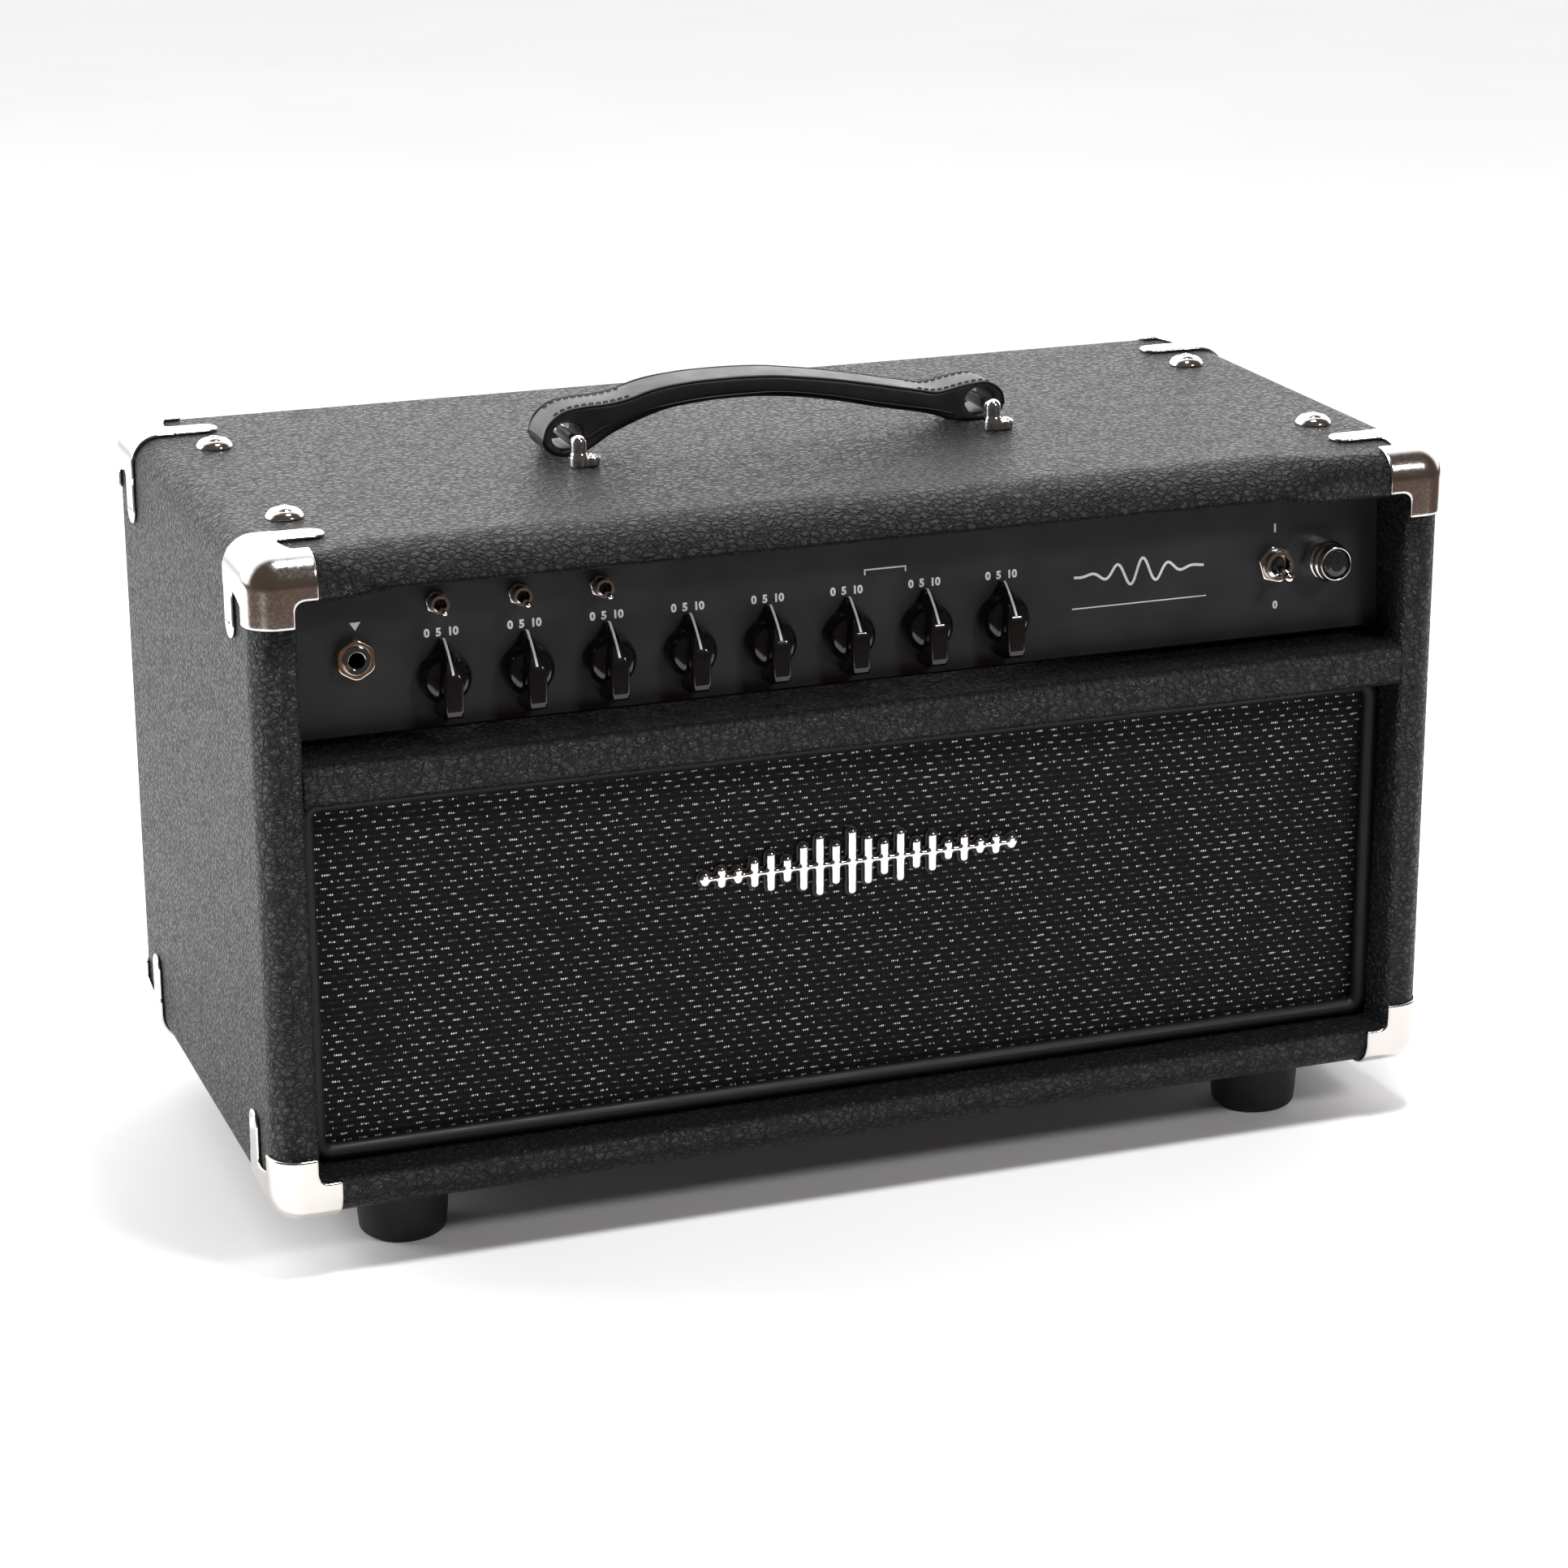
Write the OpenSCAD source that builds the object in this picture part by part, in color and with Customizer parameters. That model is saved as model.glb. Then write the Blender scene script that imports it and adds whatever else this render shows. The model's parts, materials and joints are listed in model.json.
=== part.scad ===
// Guitar amplifier head: wooden cabinet in grained vinyl, chassis hung from the
// top board, tilted control panel, cloth grille, strap handle.
// Frame: +Z up, front faces -Y, origin on the floor under the centre.

/* [Cabinet] */
// Outer width of the cabinet
cab_w = 500; // [498:1:506]
// Outer depth of the cabinet
cab_d = 252; // [250:1:258]
// Outer height of the cabinet without its feet
cab_h = 267.5; // [266.5:0.5:272]
// Thickness of the top board and the side boards
wall_t = 17.5; // [16.5:0.5:18]
// Thickness of the bottom board
floor_t = 17.1; // [16:0.1:18]
// Radius of the rounded outer edges
edge_r = 11; // [9:0.5:12]
// Radius of the scooped top front edge between the corners
scoop_r = 26.5; // [26.5:0.5:30]

/* [Front] */
// Height of the front rail
rail_h = 17.1; // [15:0.1:18]
// Height of the rail's underside above the cabinet's underside
rail_z = 169.4; // [168:0.1:170.5]
// Depth of the front rail
rail_d = 38; // [36:1:44]
// Distance of the grille cloth behind the front edge
grille_recess = 21.8; // [20:0.1:24]
// Width of the piping round the grille
pipe_w = 7; // [5:0.5:8]

/* [Control panel] */
// Backward lean of the control panel in degrees
tilt = 4.5; // [3:0.5:6]
// Height of the control panel along its face
panel_h = 56; // [54:0.5:57]
// Depth of the panel's middle behind the front edge
panel_recess = 22.8; // [22:0.1:24]
// Spacing of the knobs
knob_pitch = 33.3; // [32.5:0.1:33.5]
// Position of the first knob across the panel
knob_x0 = -171; // [-173:0.5:-170]
// Diameter of a knob's round skirt
knob_dia = 20.8; // [19.5:0.1:22]
// Height of a knob above its skirt's underside
knob_h = 15; // [13:0.5:16]
// Diameter of the knobs' shafts
shaft_dia = 6; // [5.8:0.05:6.35]
// Diameter of the plug hole in the jacks
jack_dia = 6.4; // [6.35:0.05:6.6]

/* [Handle] */
// Width of the handle strap
strap_w = 22; // [20:1:26]
// Thickness of the handle strap
strap_t = 10; // [8:0.5:11]
// Clear height below the middle of the strap
strap_gap = 18.3; // [17.3:0.5:19.3]
// Radius of the strap's arched underside
strap_r = 300; // [280:10:340]
// Distance from the middle to each handle post
post_x = 90.6; // [90:0.2:91.2]
// Distance from the middle to each row of handle posts
post_y = 25; // [23:0.5:27]

/* [Feet and hardware] */
// Diameter of a rubber foot at its top
foot_dia = 38.5; // [36:0.5:40]
// Height of a rubber foot
foot_h = 25; // [22:0.5:28]
// Distance of the feet from the middle, across
foot_x = 190.5; // [185:0.5:196]
// Distance of the feet from the middle, front to back
foot_y = 87; // [80:0.5:92]
// Distance of the chassis screws from the middle, across
screw_x = 221; // [220:0.5:222]
// Distance of the chassis screws from the middle, front to back
screw_y = 62; // [58:0.5:66]
// Sheet thickness of the corner protectors
guard_t = 1.2; // [1:0.1:1.5]

/* [Hidden] */
$fn = 48;
z0 = foot_h;
z1 = foot_h + cab_h;
hw = cab_w/2;
hd = cab_d/2;
iw = hw - wall_t;
zin0 = z0 + floor_t;
zin1 = z1 - wall_t;
zr0 = z0 + rail_z;
zr1 = zr0 + rail_h;
py = -hd + panel_recess;
pz = z0 + 218.5;
ch_t = 1.5;
ch_z = z0 + 189;
ch_y1 = 108.5;
ch_x = iw - 2;
knob_v = -8.8;
row_v = 1.8;
mini_v = 20.8;
jack_x = -205.8;
stby_x = 184;
lamp_x = 206;
mini_a = 12.5;
mini_w = 3.5;
stby_a = 18;
stby_w = 2.2;
cloth_y = -hd + grille_recess;
strap_x = 0.2;
bar_z = z1 + 9.5;
bar_r = 2.5;
rear_z = z0 + 219;
rock_x = 118;
rock_a = 11;
knobs = ["treble","middle","bass","gain","master","send","return","presence"];

// ---- shared shapes ----
module rrect(w, h, r) {
  square([w - 2*r, h], center = true);
  square([w, h - 2*r], center = true);
  for (x = [-1, 1], y = [-1, 1]) translate([x*(w/2 - r), y*(h/2 - r)]) circle(r);
}
module rbox(w, d, h, r) {
  intersection() {
    translate([0, 0, -h/2 - 1]) linear_extrude(h + 2) rrect(w, d, r);
    rotate([90, 0, 0]) translate([0, 0, -d/2 - 1]) linear_extrude(d + 2) rrect(w, h, r);
    rotate([90, 0, 90]) translate([0, 0, -w/2 - 1]) linear_extrude(w + 2) rrect(d, h, r);
  }
}
module box(a, b) { translate(a) cube([b[0]-a[0], b[1]-a[1], b[2]-a[2]]); }
module cab_block() { translate([0, 0, (z0 + z1)/2]) rbox(cab_w, cab_d, cab_h, edge_r); }
module on_panel(u, v) {
  translate([u, py + v*sin(tilt), pz + v*cos(tilt)]) rotate([90 - tilt, 0, 0]) children();
}
module on_rear(x, z) { translate([x, ch_y1, z]) rotate([-90, 0, 0]) children(); }
module ring(r0, r1, h) { difference() { cylinder(r = r1, h = h); translate([0, 0, -1]) cylinder(r = r0, h = h + 2); } }
module hexnut(af, h, r) {
  difference() { cylinder(d = af/cos(30), h = h, $fn = 6); translate([0, 0, -1]) cylinder(r = r, h = h + 2); }
}
module four(x, y) { for (sx = [-1, 1], sy = [-1, 1]) translate([sx*x, sy*y, 0]) children(); }

// ---- cabinet boards, tongue and groove at the corners ----
module tongue(sx, up) {
  zz = up ? zin1 : zin0 - 6;
  translate([sx*(iw + wall_t/2) - 3, -hd + 14, zz]) cube([6, cab_d - 28, 6]);
}
module cabinet_top() color([0.13, 0.13, 0.14]) difference() {
  intersection() { cab_block(); box([-hw-1, -hd-1, zin1], [hw+1, hd+1, z1+1]); }
  translate([-205, 0, 0]) rotate([90, 0, 90]) linear_extrude(395) difference() {
    translate([-hd-2, z1 - scoop_r]) square([25, scoop_r + 1]);
    translate([-hd + 23, z1 - scoop_r]) circle(scoop_r, $fn = 96);
  }
  for (s = [-1, 1]) tongue(s, true);
  four(screw_x, screw_y) translate([0, 0, zin1 - 1]) cylinder(r = 2.7, h = wall_t + 3);
  for (s = [-1, 1], t = [-1, 1]) translate([s*post_x + 5.6, t*post_y, z1 - 14]) cylinder(r = 1.6, h = 15);
  corner_screw_cuts();
}
module cabinet_bottom() color([0.13, 0.13, 0.14]) difference() {
  intersection() { cab_block(); box([-hw-1, -hd-1, z0-1], [hw+1, hd+1, zin0]); }
  for (s = [-1, 1]) tongue(s, false);
  four(foot_x, foot_y) translate([0, 0, z0 - 1]) cylinder(r = 2, h = 15);
  corner_screw_cuts();
}
module cabinet_side(s) color([0.13, 0.13, 0.14]) difference() {
  union() {
    intersection() { cab_block(); box([s > 0 ? iw : -hw-1, -hd-1, zin0], [s > 0 ? hw+1 : -iw, hd+1, zin1]); }
    tongue(s, true);
    tongue(s, false);
  }
  corner_screw_cuts();
}
module front_rail() color([0.13, 0.13, 0.14])
  translate([-iw, -hd + rail_d/2, zr0 + rail_h/2]) rotate([90, 0, 90]) linear_extrude(2*iw) rrect(rail_d, rail_h, 3.5);

// ---- grille ----
module grille_baffle() color([0.55, 0.42, 0.28]) box([-iw, cloth_y + 1, zin0], [iw, cloth_y + 10, zr0]);
module grille_cloth() color([0.1, 0.1, 0.1]) box([-iw + 0.5, cloth_y, zin0 + 0.5], [iw - 0.5, cloth_y + 1, zr0 - 0.5]);
module grille_piping() color([0.05, 0.05, 0.05]) difference() {
  box([-iw, cloth_y - pipe_w, zin0], [iw, cloth_y, zr0]);
  box([-iw + pipe_w, cloth_y - pipe_w - 1, zin0 + pipe_w], [iw - pipe_w, cloth_y + 1, zr0 - pipe_w]);
}
bars = [6, 9, 7, 12, 17, 11, 20, 26, 18, 28, 21, 15, 22, 13, 17, 9, 12, 7, 9, 6];
module grille_emblem() color([0.85, 0.85, 0.88]) {
  translate([0, cloth_y, z0 + 114.5]) rotate([90, 0, 0]) {
    translate([-69, -1.2, 0]) cube([138, 2.4, 2.2]);
    for (i = [0:len(bars)-1]) translate([-66.5 + i*7 - 1.8, -bars[i]/2, 0]) cube([3.6, bars[i], 3.4]);
  }
}

// ---- rear ----
module rear_panel() color([0.13, 0.13, 0.14]) difference() {
  box([-iw + 0.5, 108, zin0 + 0.5], [iw - 0.5, 117, ch_z - 3]);
  box([-150, 107, zin0 + 35], [150, 118, zin0 + 125]);
  for (s = [-1, 1], z = [20, 76, 132]) translate([s*(iw - 7.5), 100, zin0 + z]) rotate([-90, 0, 0]) cylinder(r = 2.1, h = 20);
}
module rear_vent_mesh() color([0.2, 0.2, 0.2]) difference() {
  box([-158, 106.8, zin0 + 27], [158, 108, zin0 + 133]);
  for (i = [0:13], j = [0:6]) translate([-143 + i*22 - 8, 106, zin0 + 41.5 + j*13 - 4]) cube([16, 3, 8]);
}
module rear_panel_screws() color([0.7, 0.7, 0.72])
  for (s = [-1, 1], z = [20, 76, 132]) translate([s*(iw - 7.5), 0, zin0 + z]) {
    translate([0, 97, 0]) rotate([-90, 0, 0]) cylinder(r = 1.9, h = 20);
    difference() {
      translate([0, 117, 0]) rotate([-90, 0, 0]) cylinder(r1 = 4.2, r2 = 3, h = 2);
      box([-2.5, 118.2, -0.4], [2.5, 120, 0.4]);
      box([-0.4, 118.2, -2.5], [0.4, 120, 2.5]);
    }
  }
module rear_cleats() color([0.6, 0.45, 0.3]) difference() {
  for (s = [-1, 1]) box([s > 0 ? iw - 15 : -iw, 93, zin0], [s > 0 ? iw : -iw + 15, 108, ch_z - 6]);
  for (s = [-1, 1], z = [20, 76, 132]) translate([s*(iw - 7.5), 96.5, zin0 + z]) rotate([-90, 0, 0]) cylinder(r = 1.9, h = 20);
}

// ---- corner protectors ----
module corner_mask() {
  box([hw-27, -hd-3, z1-27], [hw+3, -hd+edge_r+2, z1+3]);
  box([hw-18, -hd-3, z1-18], [hw+3, -hd+39, z1+3]);
  box([hw-31, -hd+27, z1-10], [hw+3, -hd+39, z1+3]);
  box([hw-10, -hd+27, z1-33], [hw+3, -hd+39, z1+3]);
  translate([hw-31, -hd+33, z1-10]) cylinder(r = 6, h = 13);
  translate([hw-10, -hd+33, z1-33]) rotate([0, 90, 0]) cylinder(r = 6, h = 13);
}
module corner_shell() difference() {
  intersection() {
    translate([0, 0, (z0 + z1)/2]) rbox(cab_w + 2*guard_t, cab_d + 2*guard_t, cab_h + 2*guard_t, edge_r + guard_t);
    corner_mask();
  }
  cab_block();
  translate([hw-27.5, -hd+33, z1-1]) cylinder(r = 1.7, h = 5);
  translate([hw-1, -hd+33, z1-29.5]) rotate([0, 90, 0]) cylinder(r = 1.7, h = 5);
}
module eightfold() {
  for (sx = [0, 1], sy = [0, 1], sz = [0, 1])
    translate([0, 0, sz*(z0 + z1)]) mirror([0, 0, sz]) mirror([sx, 0, 0]) mirror([0, sy, 0]) children();
}
module corner_protectors() color([0.8, 0.8, 0.82]) eightfold() corner_shell();
module corner_screw() {
  difference() {
    union() {
      translate([0, 0, -12]) cylinder(r = 1.5, h = 12 + guard_t);
      translate([0, 0, guard_t]) cylinder(r1 = 3, r2 = 2.1, h = 1.2);
    }
    translate([-1.8, -0.35, guard_t + 0.5]) cube([3.6, 0.7, 2]);
    translate([-0.35, -1.8, guard_t + 0.5]) cube([0.7, 3.6, 2]);
  }
}
module corner_screws() color([0.8, 0.8, 0.82]) eightfold() {
  translate([hw-27.5, -hd+33, z1]) corner_screw();
  translate([hw, -hd+33, z1-29.5]) rotate([0, 90, 0]) corner_screw();
}
module corner_screw_cuts() eightfold() {
  translate([hw-27.5, -hd+33, z1-12.5]) cylinder(r = 1.5, h = 14);
  translate([hw-12.5, -hd+33, z1-29.5]) rotate([0, 90, 0]) cylinder(r = 1.5, h = 14);
}

// ---- chassis screws with cup washers, through the top board ----
module chassis_cup_washers() color([0.8, 0.8, 0.82]) four(screw_x, screw_y) translate([0, 0, z1])
  rotate_extrude() polygon([[2.8, 0], [7.6, 0], [7.4, 1], [5.2, 3], [4.4, 3.2], [2.8, 1.4]]);
module chassis_screws() color([0.8, 0.8, 0.82]) four(screw_x, screw_y) {
  translate([0, 0, z1]) difference() {
    rotate_extrude() polygon([[0, 1.0], [2.4, 1.0], [4.35, 3.2], [3.4, 4.1], [1.8, 4.6], [0, 4.75]]);
    translate([-2.4, -0.5, 3.4]) cube([4.8, 1, 3]);
    translate([-0.5, -2.4, 3.4]) cube([1, 4.8, 3]);
  }
  translate([0, 0, zin1 - 10]) cylinder(r = 2.4, h = z1 - zin1 + 11.2);
  translate([0, 0, zin1 - 6]) hexnut(8, 4, 2.45);
}

// ---- feet ----
module rubber_feet() color([0.09, 0.09, 0.09]) four(foot_x, foot_y) difference() {
  cylinder(d1 = foot_dia - 3, d2 = foot_dia, h = foot_h);
  translate([0, 0, -1]) cylinder(r = 7, h = 13);
  translate([0, 0, 5]) cylinder(r = 2, h = foot_h);
}
module foot_screws() color([0.7, 0.7, 0.72]) four(foot_x, foot_y) {
  translate([0, 0, 10.8]) ring(2.1, 6.6, 1.2);
  translate([0, 0, 10.7]) cylinder(r = 2, h = z0 + 2);
  difference() {
    translate([0, 0, 8.2]) cylinder(r1 = 3, r2 = 4.4, h = 2.5);
    translate([-2.2, -0.4, 7.5]) cube([4.4, 0.8, 1.9]);
    translate([-0.4, -2.2, 7.5]) cube([0.8, 4.4, 1.9]);
  }
}

// ---- handle ----
module strap_ends(r) {
  for (s = [-1, 1]) {
    translate([strap_x + s*92.4, z1 + 10]) circle(r);
    translate([strap_x + s*82.4, z1 + 10]) circle(r);
    translate([strap_x + s*87.4 - 5, z1 + 10 - r]) square([10, 2*r]);
  }
}
module handle_strap() color([0.1, 0.1, 0.1]) translate([0, strap_w/2, 0]) rotate([90, 0, 0]) linear_extrude(strap_w) difference() {
  union() {
    intersection() {
      translate([strap_x, z1 + strap_gap - strap_r]) difference() { circle(strap_r + strap_t, $fn = 180); circle(strap_r, $fn = 180); }
      translate([strap_x - 84, z1]) square([168, 60]);
    }
    strap_ends(9);
  }
  strap_ends(5.4);
}
module handle_brackets() color([0.8, 0.8, 0.82]) for (s = [-1, 1]) translate([s*post_x, 0, 0]) difference() {
  union() {
    for (t = [-1, 1]) translate([0, t*post_y, z1]) {
      cylinder(r = 3.8, h = 4.6);
      translate([5.6, 0, 0]) cylinder(r = 3.4, h = 4.2);
      translate([0, -3, 0]) cube([5.6, 6, 4]);
      cylinder(r = 3.2, h = 10);
      translate([0, 0, 10]) sphere(3.2);
    }
    translate([0, post_y, bar_z]) rotate([90, 0, 0]) cylinder(r = bar_r, h = 2*post_y);
  }
  for (t = [-1, 1]) translate([5.6, t*post_y, z1]) {
    translate([0, 0, -1]) cylinder(r = 1.7, h = 7);
    translate([0, 0, 4.2]) cylinder(r = 2.35, h = 4);
  }
}
module handle_screws() color([0.8, 0.8, 0.82]) for (s = [-1, 1], t = [-1, 1]) translate([s*post_x + 5.6, t*post_y, z1]) {
  translate([0, 0, -13]) cylinder(r = 1.6, h = 17.2);
  difference() {
    translate([0, 0, 4.2]) cylinder(r1 = 2.28, r2 = 1.6, h = 1.1);
    translate([-1.5, -0.3, 4.7]) cube([3, 0.6, 1]);
    translate([-0.3, -1.5, 4.7]) cube([0.6, 3, 1]);
  }
}

// ---- chassis and control panel ----
module panel_holes(c) {
  on_panel(jack_x, row_v) translate([0, 0, -9]) cylinder(r = 5.6 + c, h = 12);
  on_panel(stby_x, row_v) translate([0, 0, -9]) cylinder(r = 6 + c, h = 12);
  on_panel(lamp_x, row_v) translate([0, 0, -9]) cylinder(r = 6.5 + c, h = 12);
  for (i = [0:2]) on_panel(knob_x0 - 1.7 + i*33, mini_v) translate([0, 0, -9]) cylinder(r = 3.6 + c, h = 12);
  for (i = [0:7]) on_panel(knob_x0 + i*knob_pitch, knob_v) translate([0, 0, -9]) cylinder(r = 4.75 + c, h = 12);
}
module control_panel() color([0.12, 0.12, 0.12]) difference() {
  on_panel(0, 0) translate([-iw + 1, -panel_h/2, -2]) cube([2*iw - 2, panel_h, 2]);
  panel_holes(0);
}
module chassis() color([0.62, 0.63, 0.65]) difference() {
  union() {
    on_panel(0, 0) translate([-ch_x, -29.2, -3.5]) cube([2*ch_x, 56.2, 1.5]);
    box([-ch_x, py + 1, ch_z], [ch_x, ch_y1, ch_z + ch_t]);
    box([-ch_x, ch_y1 - ch_t, ch_z], [ch_x, ch_y1, zin1]);
    for (s = [-1, 1]) {
      box([s > 0 ? ch_x - ch_t : -ch_x, py + 9, ch_z], [s > 0 ? ch_x : -ch_x + ch_t, ch_y1, zin1]);
      box([s > 0 ? ch_x - 20 : -ch_x, -90, zin1 - ch_t], [s > 0 ? ch_x : -ch_x + 20, ch_y1, zin1]);
    }
  }
  panel_holes(0);
  four(screw_x, screw_y) translate([0, 0, zin1 - 3]) cylinder(r = 2.7, h = 6);
  for (x = [-30, 10, 50]) translate([x, 45, ch_z - 1]) cylinder(r = 9.5, h = 4);
  for (x = [-150, -115, -80]) translate([x, 20, ch_z - 1]) cylinder(r = 9.5, h = 4);
  box([-ch_x + ch_t, ch_y1 - 3, ch_z + ch_t], [-84, ch_y1 + 1, zin1 - ch_t]);
  box([-ch_x + 20, ch_y1 - 3, zin1 - 3], [-84, ch_y1 + 1, zin1 + 1]);
  on_panel(jack_x, row_v) translate([-40, -12.5, -6]) cube([53, 25, 5.9]);
  on_rear(70, rear_z) translate([0, 0, -3]) cylinder(r = 6.5, h = 5);
  box([rock_x - 9.5, ch_y1 - 3, rear_z - 13], [rock_x + 9.5, ch_y1 + 1, rear_z + 13]);
  box([150, ch_y1 - 3, ch_z + ch_t], [ch_x - ch_t, ch_y1 + 1, zin1 - ch_t]);
  box([150, ch_y1 - 3, zin1 - 3], [ch_x - 20, ch_y1 + 1, zin1 + 1]);
}
module input_jack() color([0.25, 0.25, 0.26]) on_panel(jack_x, row_v) difference() {
  union() {
    translate([0, 0, -3.5]) cylinder(r = 5.6, h = 8.6);
    translate([-11, -11, -25.5]) cube([22, 22, 22]);
  }
  translate([0, 0, -24]) cylinder(d = jack_dia, h = 40);
}
module panel_nuts() color([0.8, 0.8, 0.82]) {
  on_panel(jack_x, row_v) difference() {
    intersection() { hexnut(14.6, 4.2, 5.6); cylinder(r1 = 10.2, r2 = 6.6, h = 6); }
  }
  on_panel(stby_x, row_v) hexnut(14.2, 2.6, 6);
  for (i = [0:2]) on_panel(knob_x0 - 1.7 + i*33, mini_v) hexnut(8, 1.8, 3.6);
  for (i = [0:7]) on_panel(knob_x0 + i*knob_pitch, knob_v) hexnut(12.6, 2.2, 4.75);
}
module knob(i) color([0.07, 0.07, 0.07]) on_panel(knob_x0 + i*knob_pitch, knob_v) translate([0, 0, 1]) difference() {
  union() {
    cylinder(d = knob_dia, h = 3);
    translate([0, 0, 3]) cylinder(d1 = knob_dia, d2 = knob_dia - 5, h = 5);
    intersection() {
      linear_extrude(knob_h + 1) polygon([[-3.6, -15], [3.6, -15], [4, 0], [2.4, 9], [0.7, 16], [-0.7, 16], [-2.4, 9], [-4, 0]]);
      rotate([90, 0, 90]) translate([0, 0, -6]) linear_extrude(12)
        polygon([[-14.6, 0.4], [16, 0.4], [16, 2], [13.5, 5], [9, 9.6], [4, 13.6], [0, knob_h], [-10, knob_h], [-13, knob_h - 2], [-15, 4]]);
    }
  }
  translate([0, 0, -1]) cylinder(r = 7.8, h = 3.4);
  translate([0, 0, -1]) cylinder(d = shaft_dia, h = 12.5);
}
module shaft(i) color([0.75, 0.75, 0.76]) on_panel(knob_x0 + i*knob_pitch, knob_v)
  translate([0, 0, -10]) cylinder(d = shaft_dia, h = 22);
module potentiometers() color([0.6, 0.6, 0.58]) for (i = [0:7]) on_panel(knob_x0 + i*knob_pitch, knob_v) difference() {
  union() {
    translate([0, 0, -3.5]) cylinder(r = 4.75, h = 6.9);
    translate([0, 0, -13]) cylinder(r = 12, h = 9.5);
    translate([-8, -16, -8]) cube([16, 6, 1.5]);
  }
  translate([0, 0, -10.6]) cylinder(d = shaft_dia + 0.1, h = 20);
}

// ---- toggle switches ----
module toggle_body(rb, rh, wt, pw, rp, bw, bl, bd) difference() {
  union() {
    translate([0, 0, -3.5]) cylinder(r = rb, h = 3.5 + wt);
    translate([-bw/2, -bl/2, -3.5 - bd]) cube([bw, bl, bd]);
  }
  translate([0, 0, pw]) cylinder(r = rh, h = 20);
  translate([0, 0, pw]) sphere(rp + 0.06);
}
module toggle_switches() color([0.8, 0.8, 0.82]) {
  for (i = [0:2]) on_panel(knob_x0 - 1.7 + i*33, mini_v) toggle_body(3.6, 2.5, 7.6, mini_w, 2.3, 8, 13, 10);
  on_panel(stby_x, row_v) toggle_body(6, 4.4, 6, stby_w, 3.6, 18, 26, 20);
}
module mini_lever(i) color([0.85, 0.85, 0.87]) on_panel(knob_x0 - 1.7 + i*33, mini_v) translate([0, 0, mini_w]) {
  sphere(2.3);
  rotate([mini_a, 0, 0]) {
    cylinder(r1 = 1.05, r2 = 1.3, h = 10);
    translate([0, 0, 10]) sphere(1.3);
  }
}
module standby_lever() color([0.85, 0.85, 0.87]) on_panel(stby_x, row_v) translate([0, 0, stby_w]) {
  sphere(3.6);
  rotate([stby_a, 0, 0]) {
    cylinder(r1 = 1.7, r2 = 2.3, h = 11.5);
    translate([0, 0, 11.5]) sphere(2.3);
  }
}

// ---- pilot lamp ----
module pilot_bezel() color([0.82, 0.82, 0.84]) on_panel(lamp_x, row_v) difference() {
  union() {
    translate([0, 0, -14]) cylinder(r = 6.5, h = 14);
    cylinder(r = 8.6, h = 6.6);
    translate([0, 0, 6.6]) cylinder(r = 7.9, h = 3.2);
    translate([0, 0, 9.8]) cylinder(r = 7.2, h = 3.6);
  }
  translate([0, 0, -15]) cylinder(r = 5.3, h = 24);
  translate([0, 0, 5]) cylinder(r = 6.1, h = 12);
}
module pilot_jewel() color([0.25, 0.27, 0.3]) on_panel(lamp_x, row_v) intersection() {
  translate([0, 0, 5]) cylinder(r = 6.1, h = 10);
  translate([0, 0, 2]) sphere(12.4);
}

// ---- rear fittings on the chassis ----
module mains_inlet() color([0.1, 0.1, 0.1]) {
  translate([186, ch_y1, rear_z]) difference() {
    union() {
      translate([-14, -22, -10.5]) cube([28, 22, 21]);
      translate([-25, 0, -13]) cube([50, 3, 26]);
    }
    box([-12.2, -18, -8], [12.2, 4, 8]);
    for (s = [-1, 1]) translate([s*20, -1, 0]) rotate([-90, 0, 0]) cylinder(r = 1.7, h = 5);
  }
  difference() {
    box([150.3, ch_y1 - ch_t, ch_z + ch_t + 0.05], [ch_x - ch_t - 0.3, ch_y1 - 0.05, zin1 - ch_t - 0.3]);
    box([186 - 14.3, ch_y1 - 3, rear_z - 10.8], [186 + 14.3, ch_y1 + 1, rear_z + 10.8]);
  }
}
module fuse_holder() color([0.1, 0.1, 0.1]) on_rear(70, rear_z) {
  translate([0, 0, -32]) cylinder(r = 6.5, h = 32);
  cylinder(r = 8, h = 3);
  difference() {
    translate([0, 0, 3]) cylinder(r = 6, h = 7);
    translate([-5, -0.6, 8.6]) cube([10, 1.2, 3]);
  }
}
module rear_jacks() color([0.2, 0.2, 0.2]) {
  for (x = [-190, -160, -130, -100]) on_rear(x, rear_z) difference() {
    union() {
      translate([0, 0, -1.6]) cylinder(r = 5, h = 6.6);
      hexnut(12.6, 3, 4.9);
      translate([-10, -11, -25.5]) cube([20, 22, 23.95]);
    }
    translate([0, 0, -24]) cylinder(d = jack_dia, h = 40);
  }
  difference() {
    box([-ch_x + ch_t + 0.3, ch_y1 - ch_t, ch_z + ch_t + 0.05], [-84.3, ch_y1, zin1 - ch_t - 0.3]);
    for (x = [-190, -160, -130, -100]) on_rear(x, rear_z) translate([0, 0, -5]) cylinder(r = 5.05, h = 8);
  }
}
module mains_switch() color([0.1, 0.1, 0.1]) translate([rock_x, ch_y1, rear_z]) difference() {
  union() {
    translate([-9.5, -22, -13]) cube([19, 22, 26]);
    translate([-11.5, 0, -15.5]) cube([23, 2, 31]);
  }
  box([-7.6, -12, -11.2], [7.6, 4, 11.2]);
}
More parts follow.
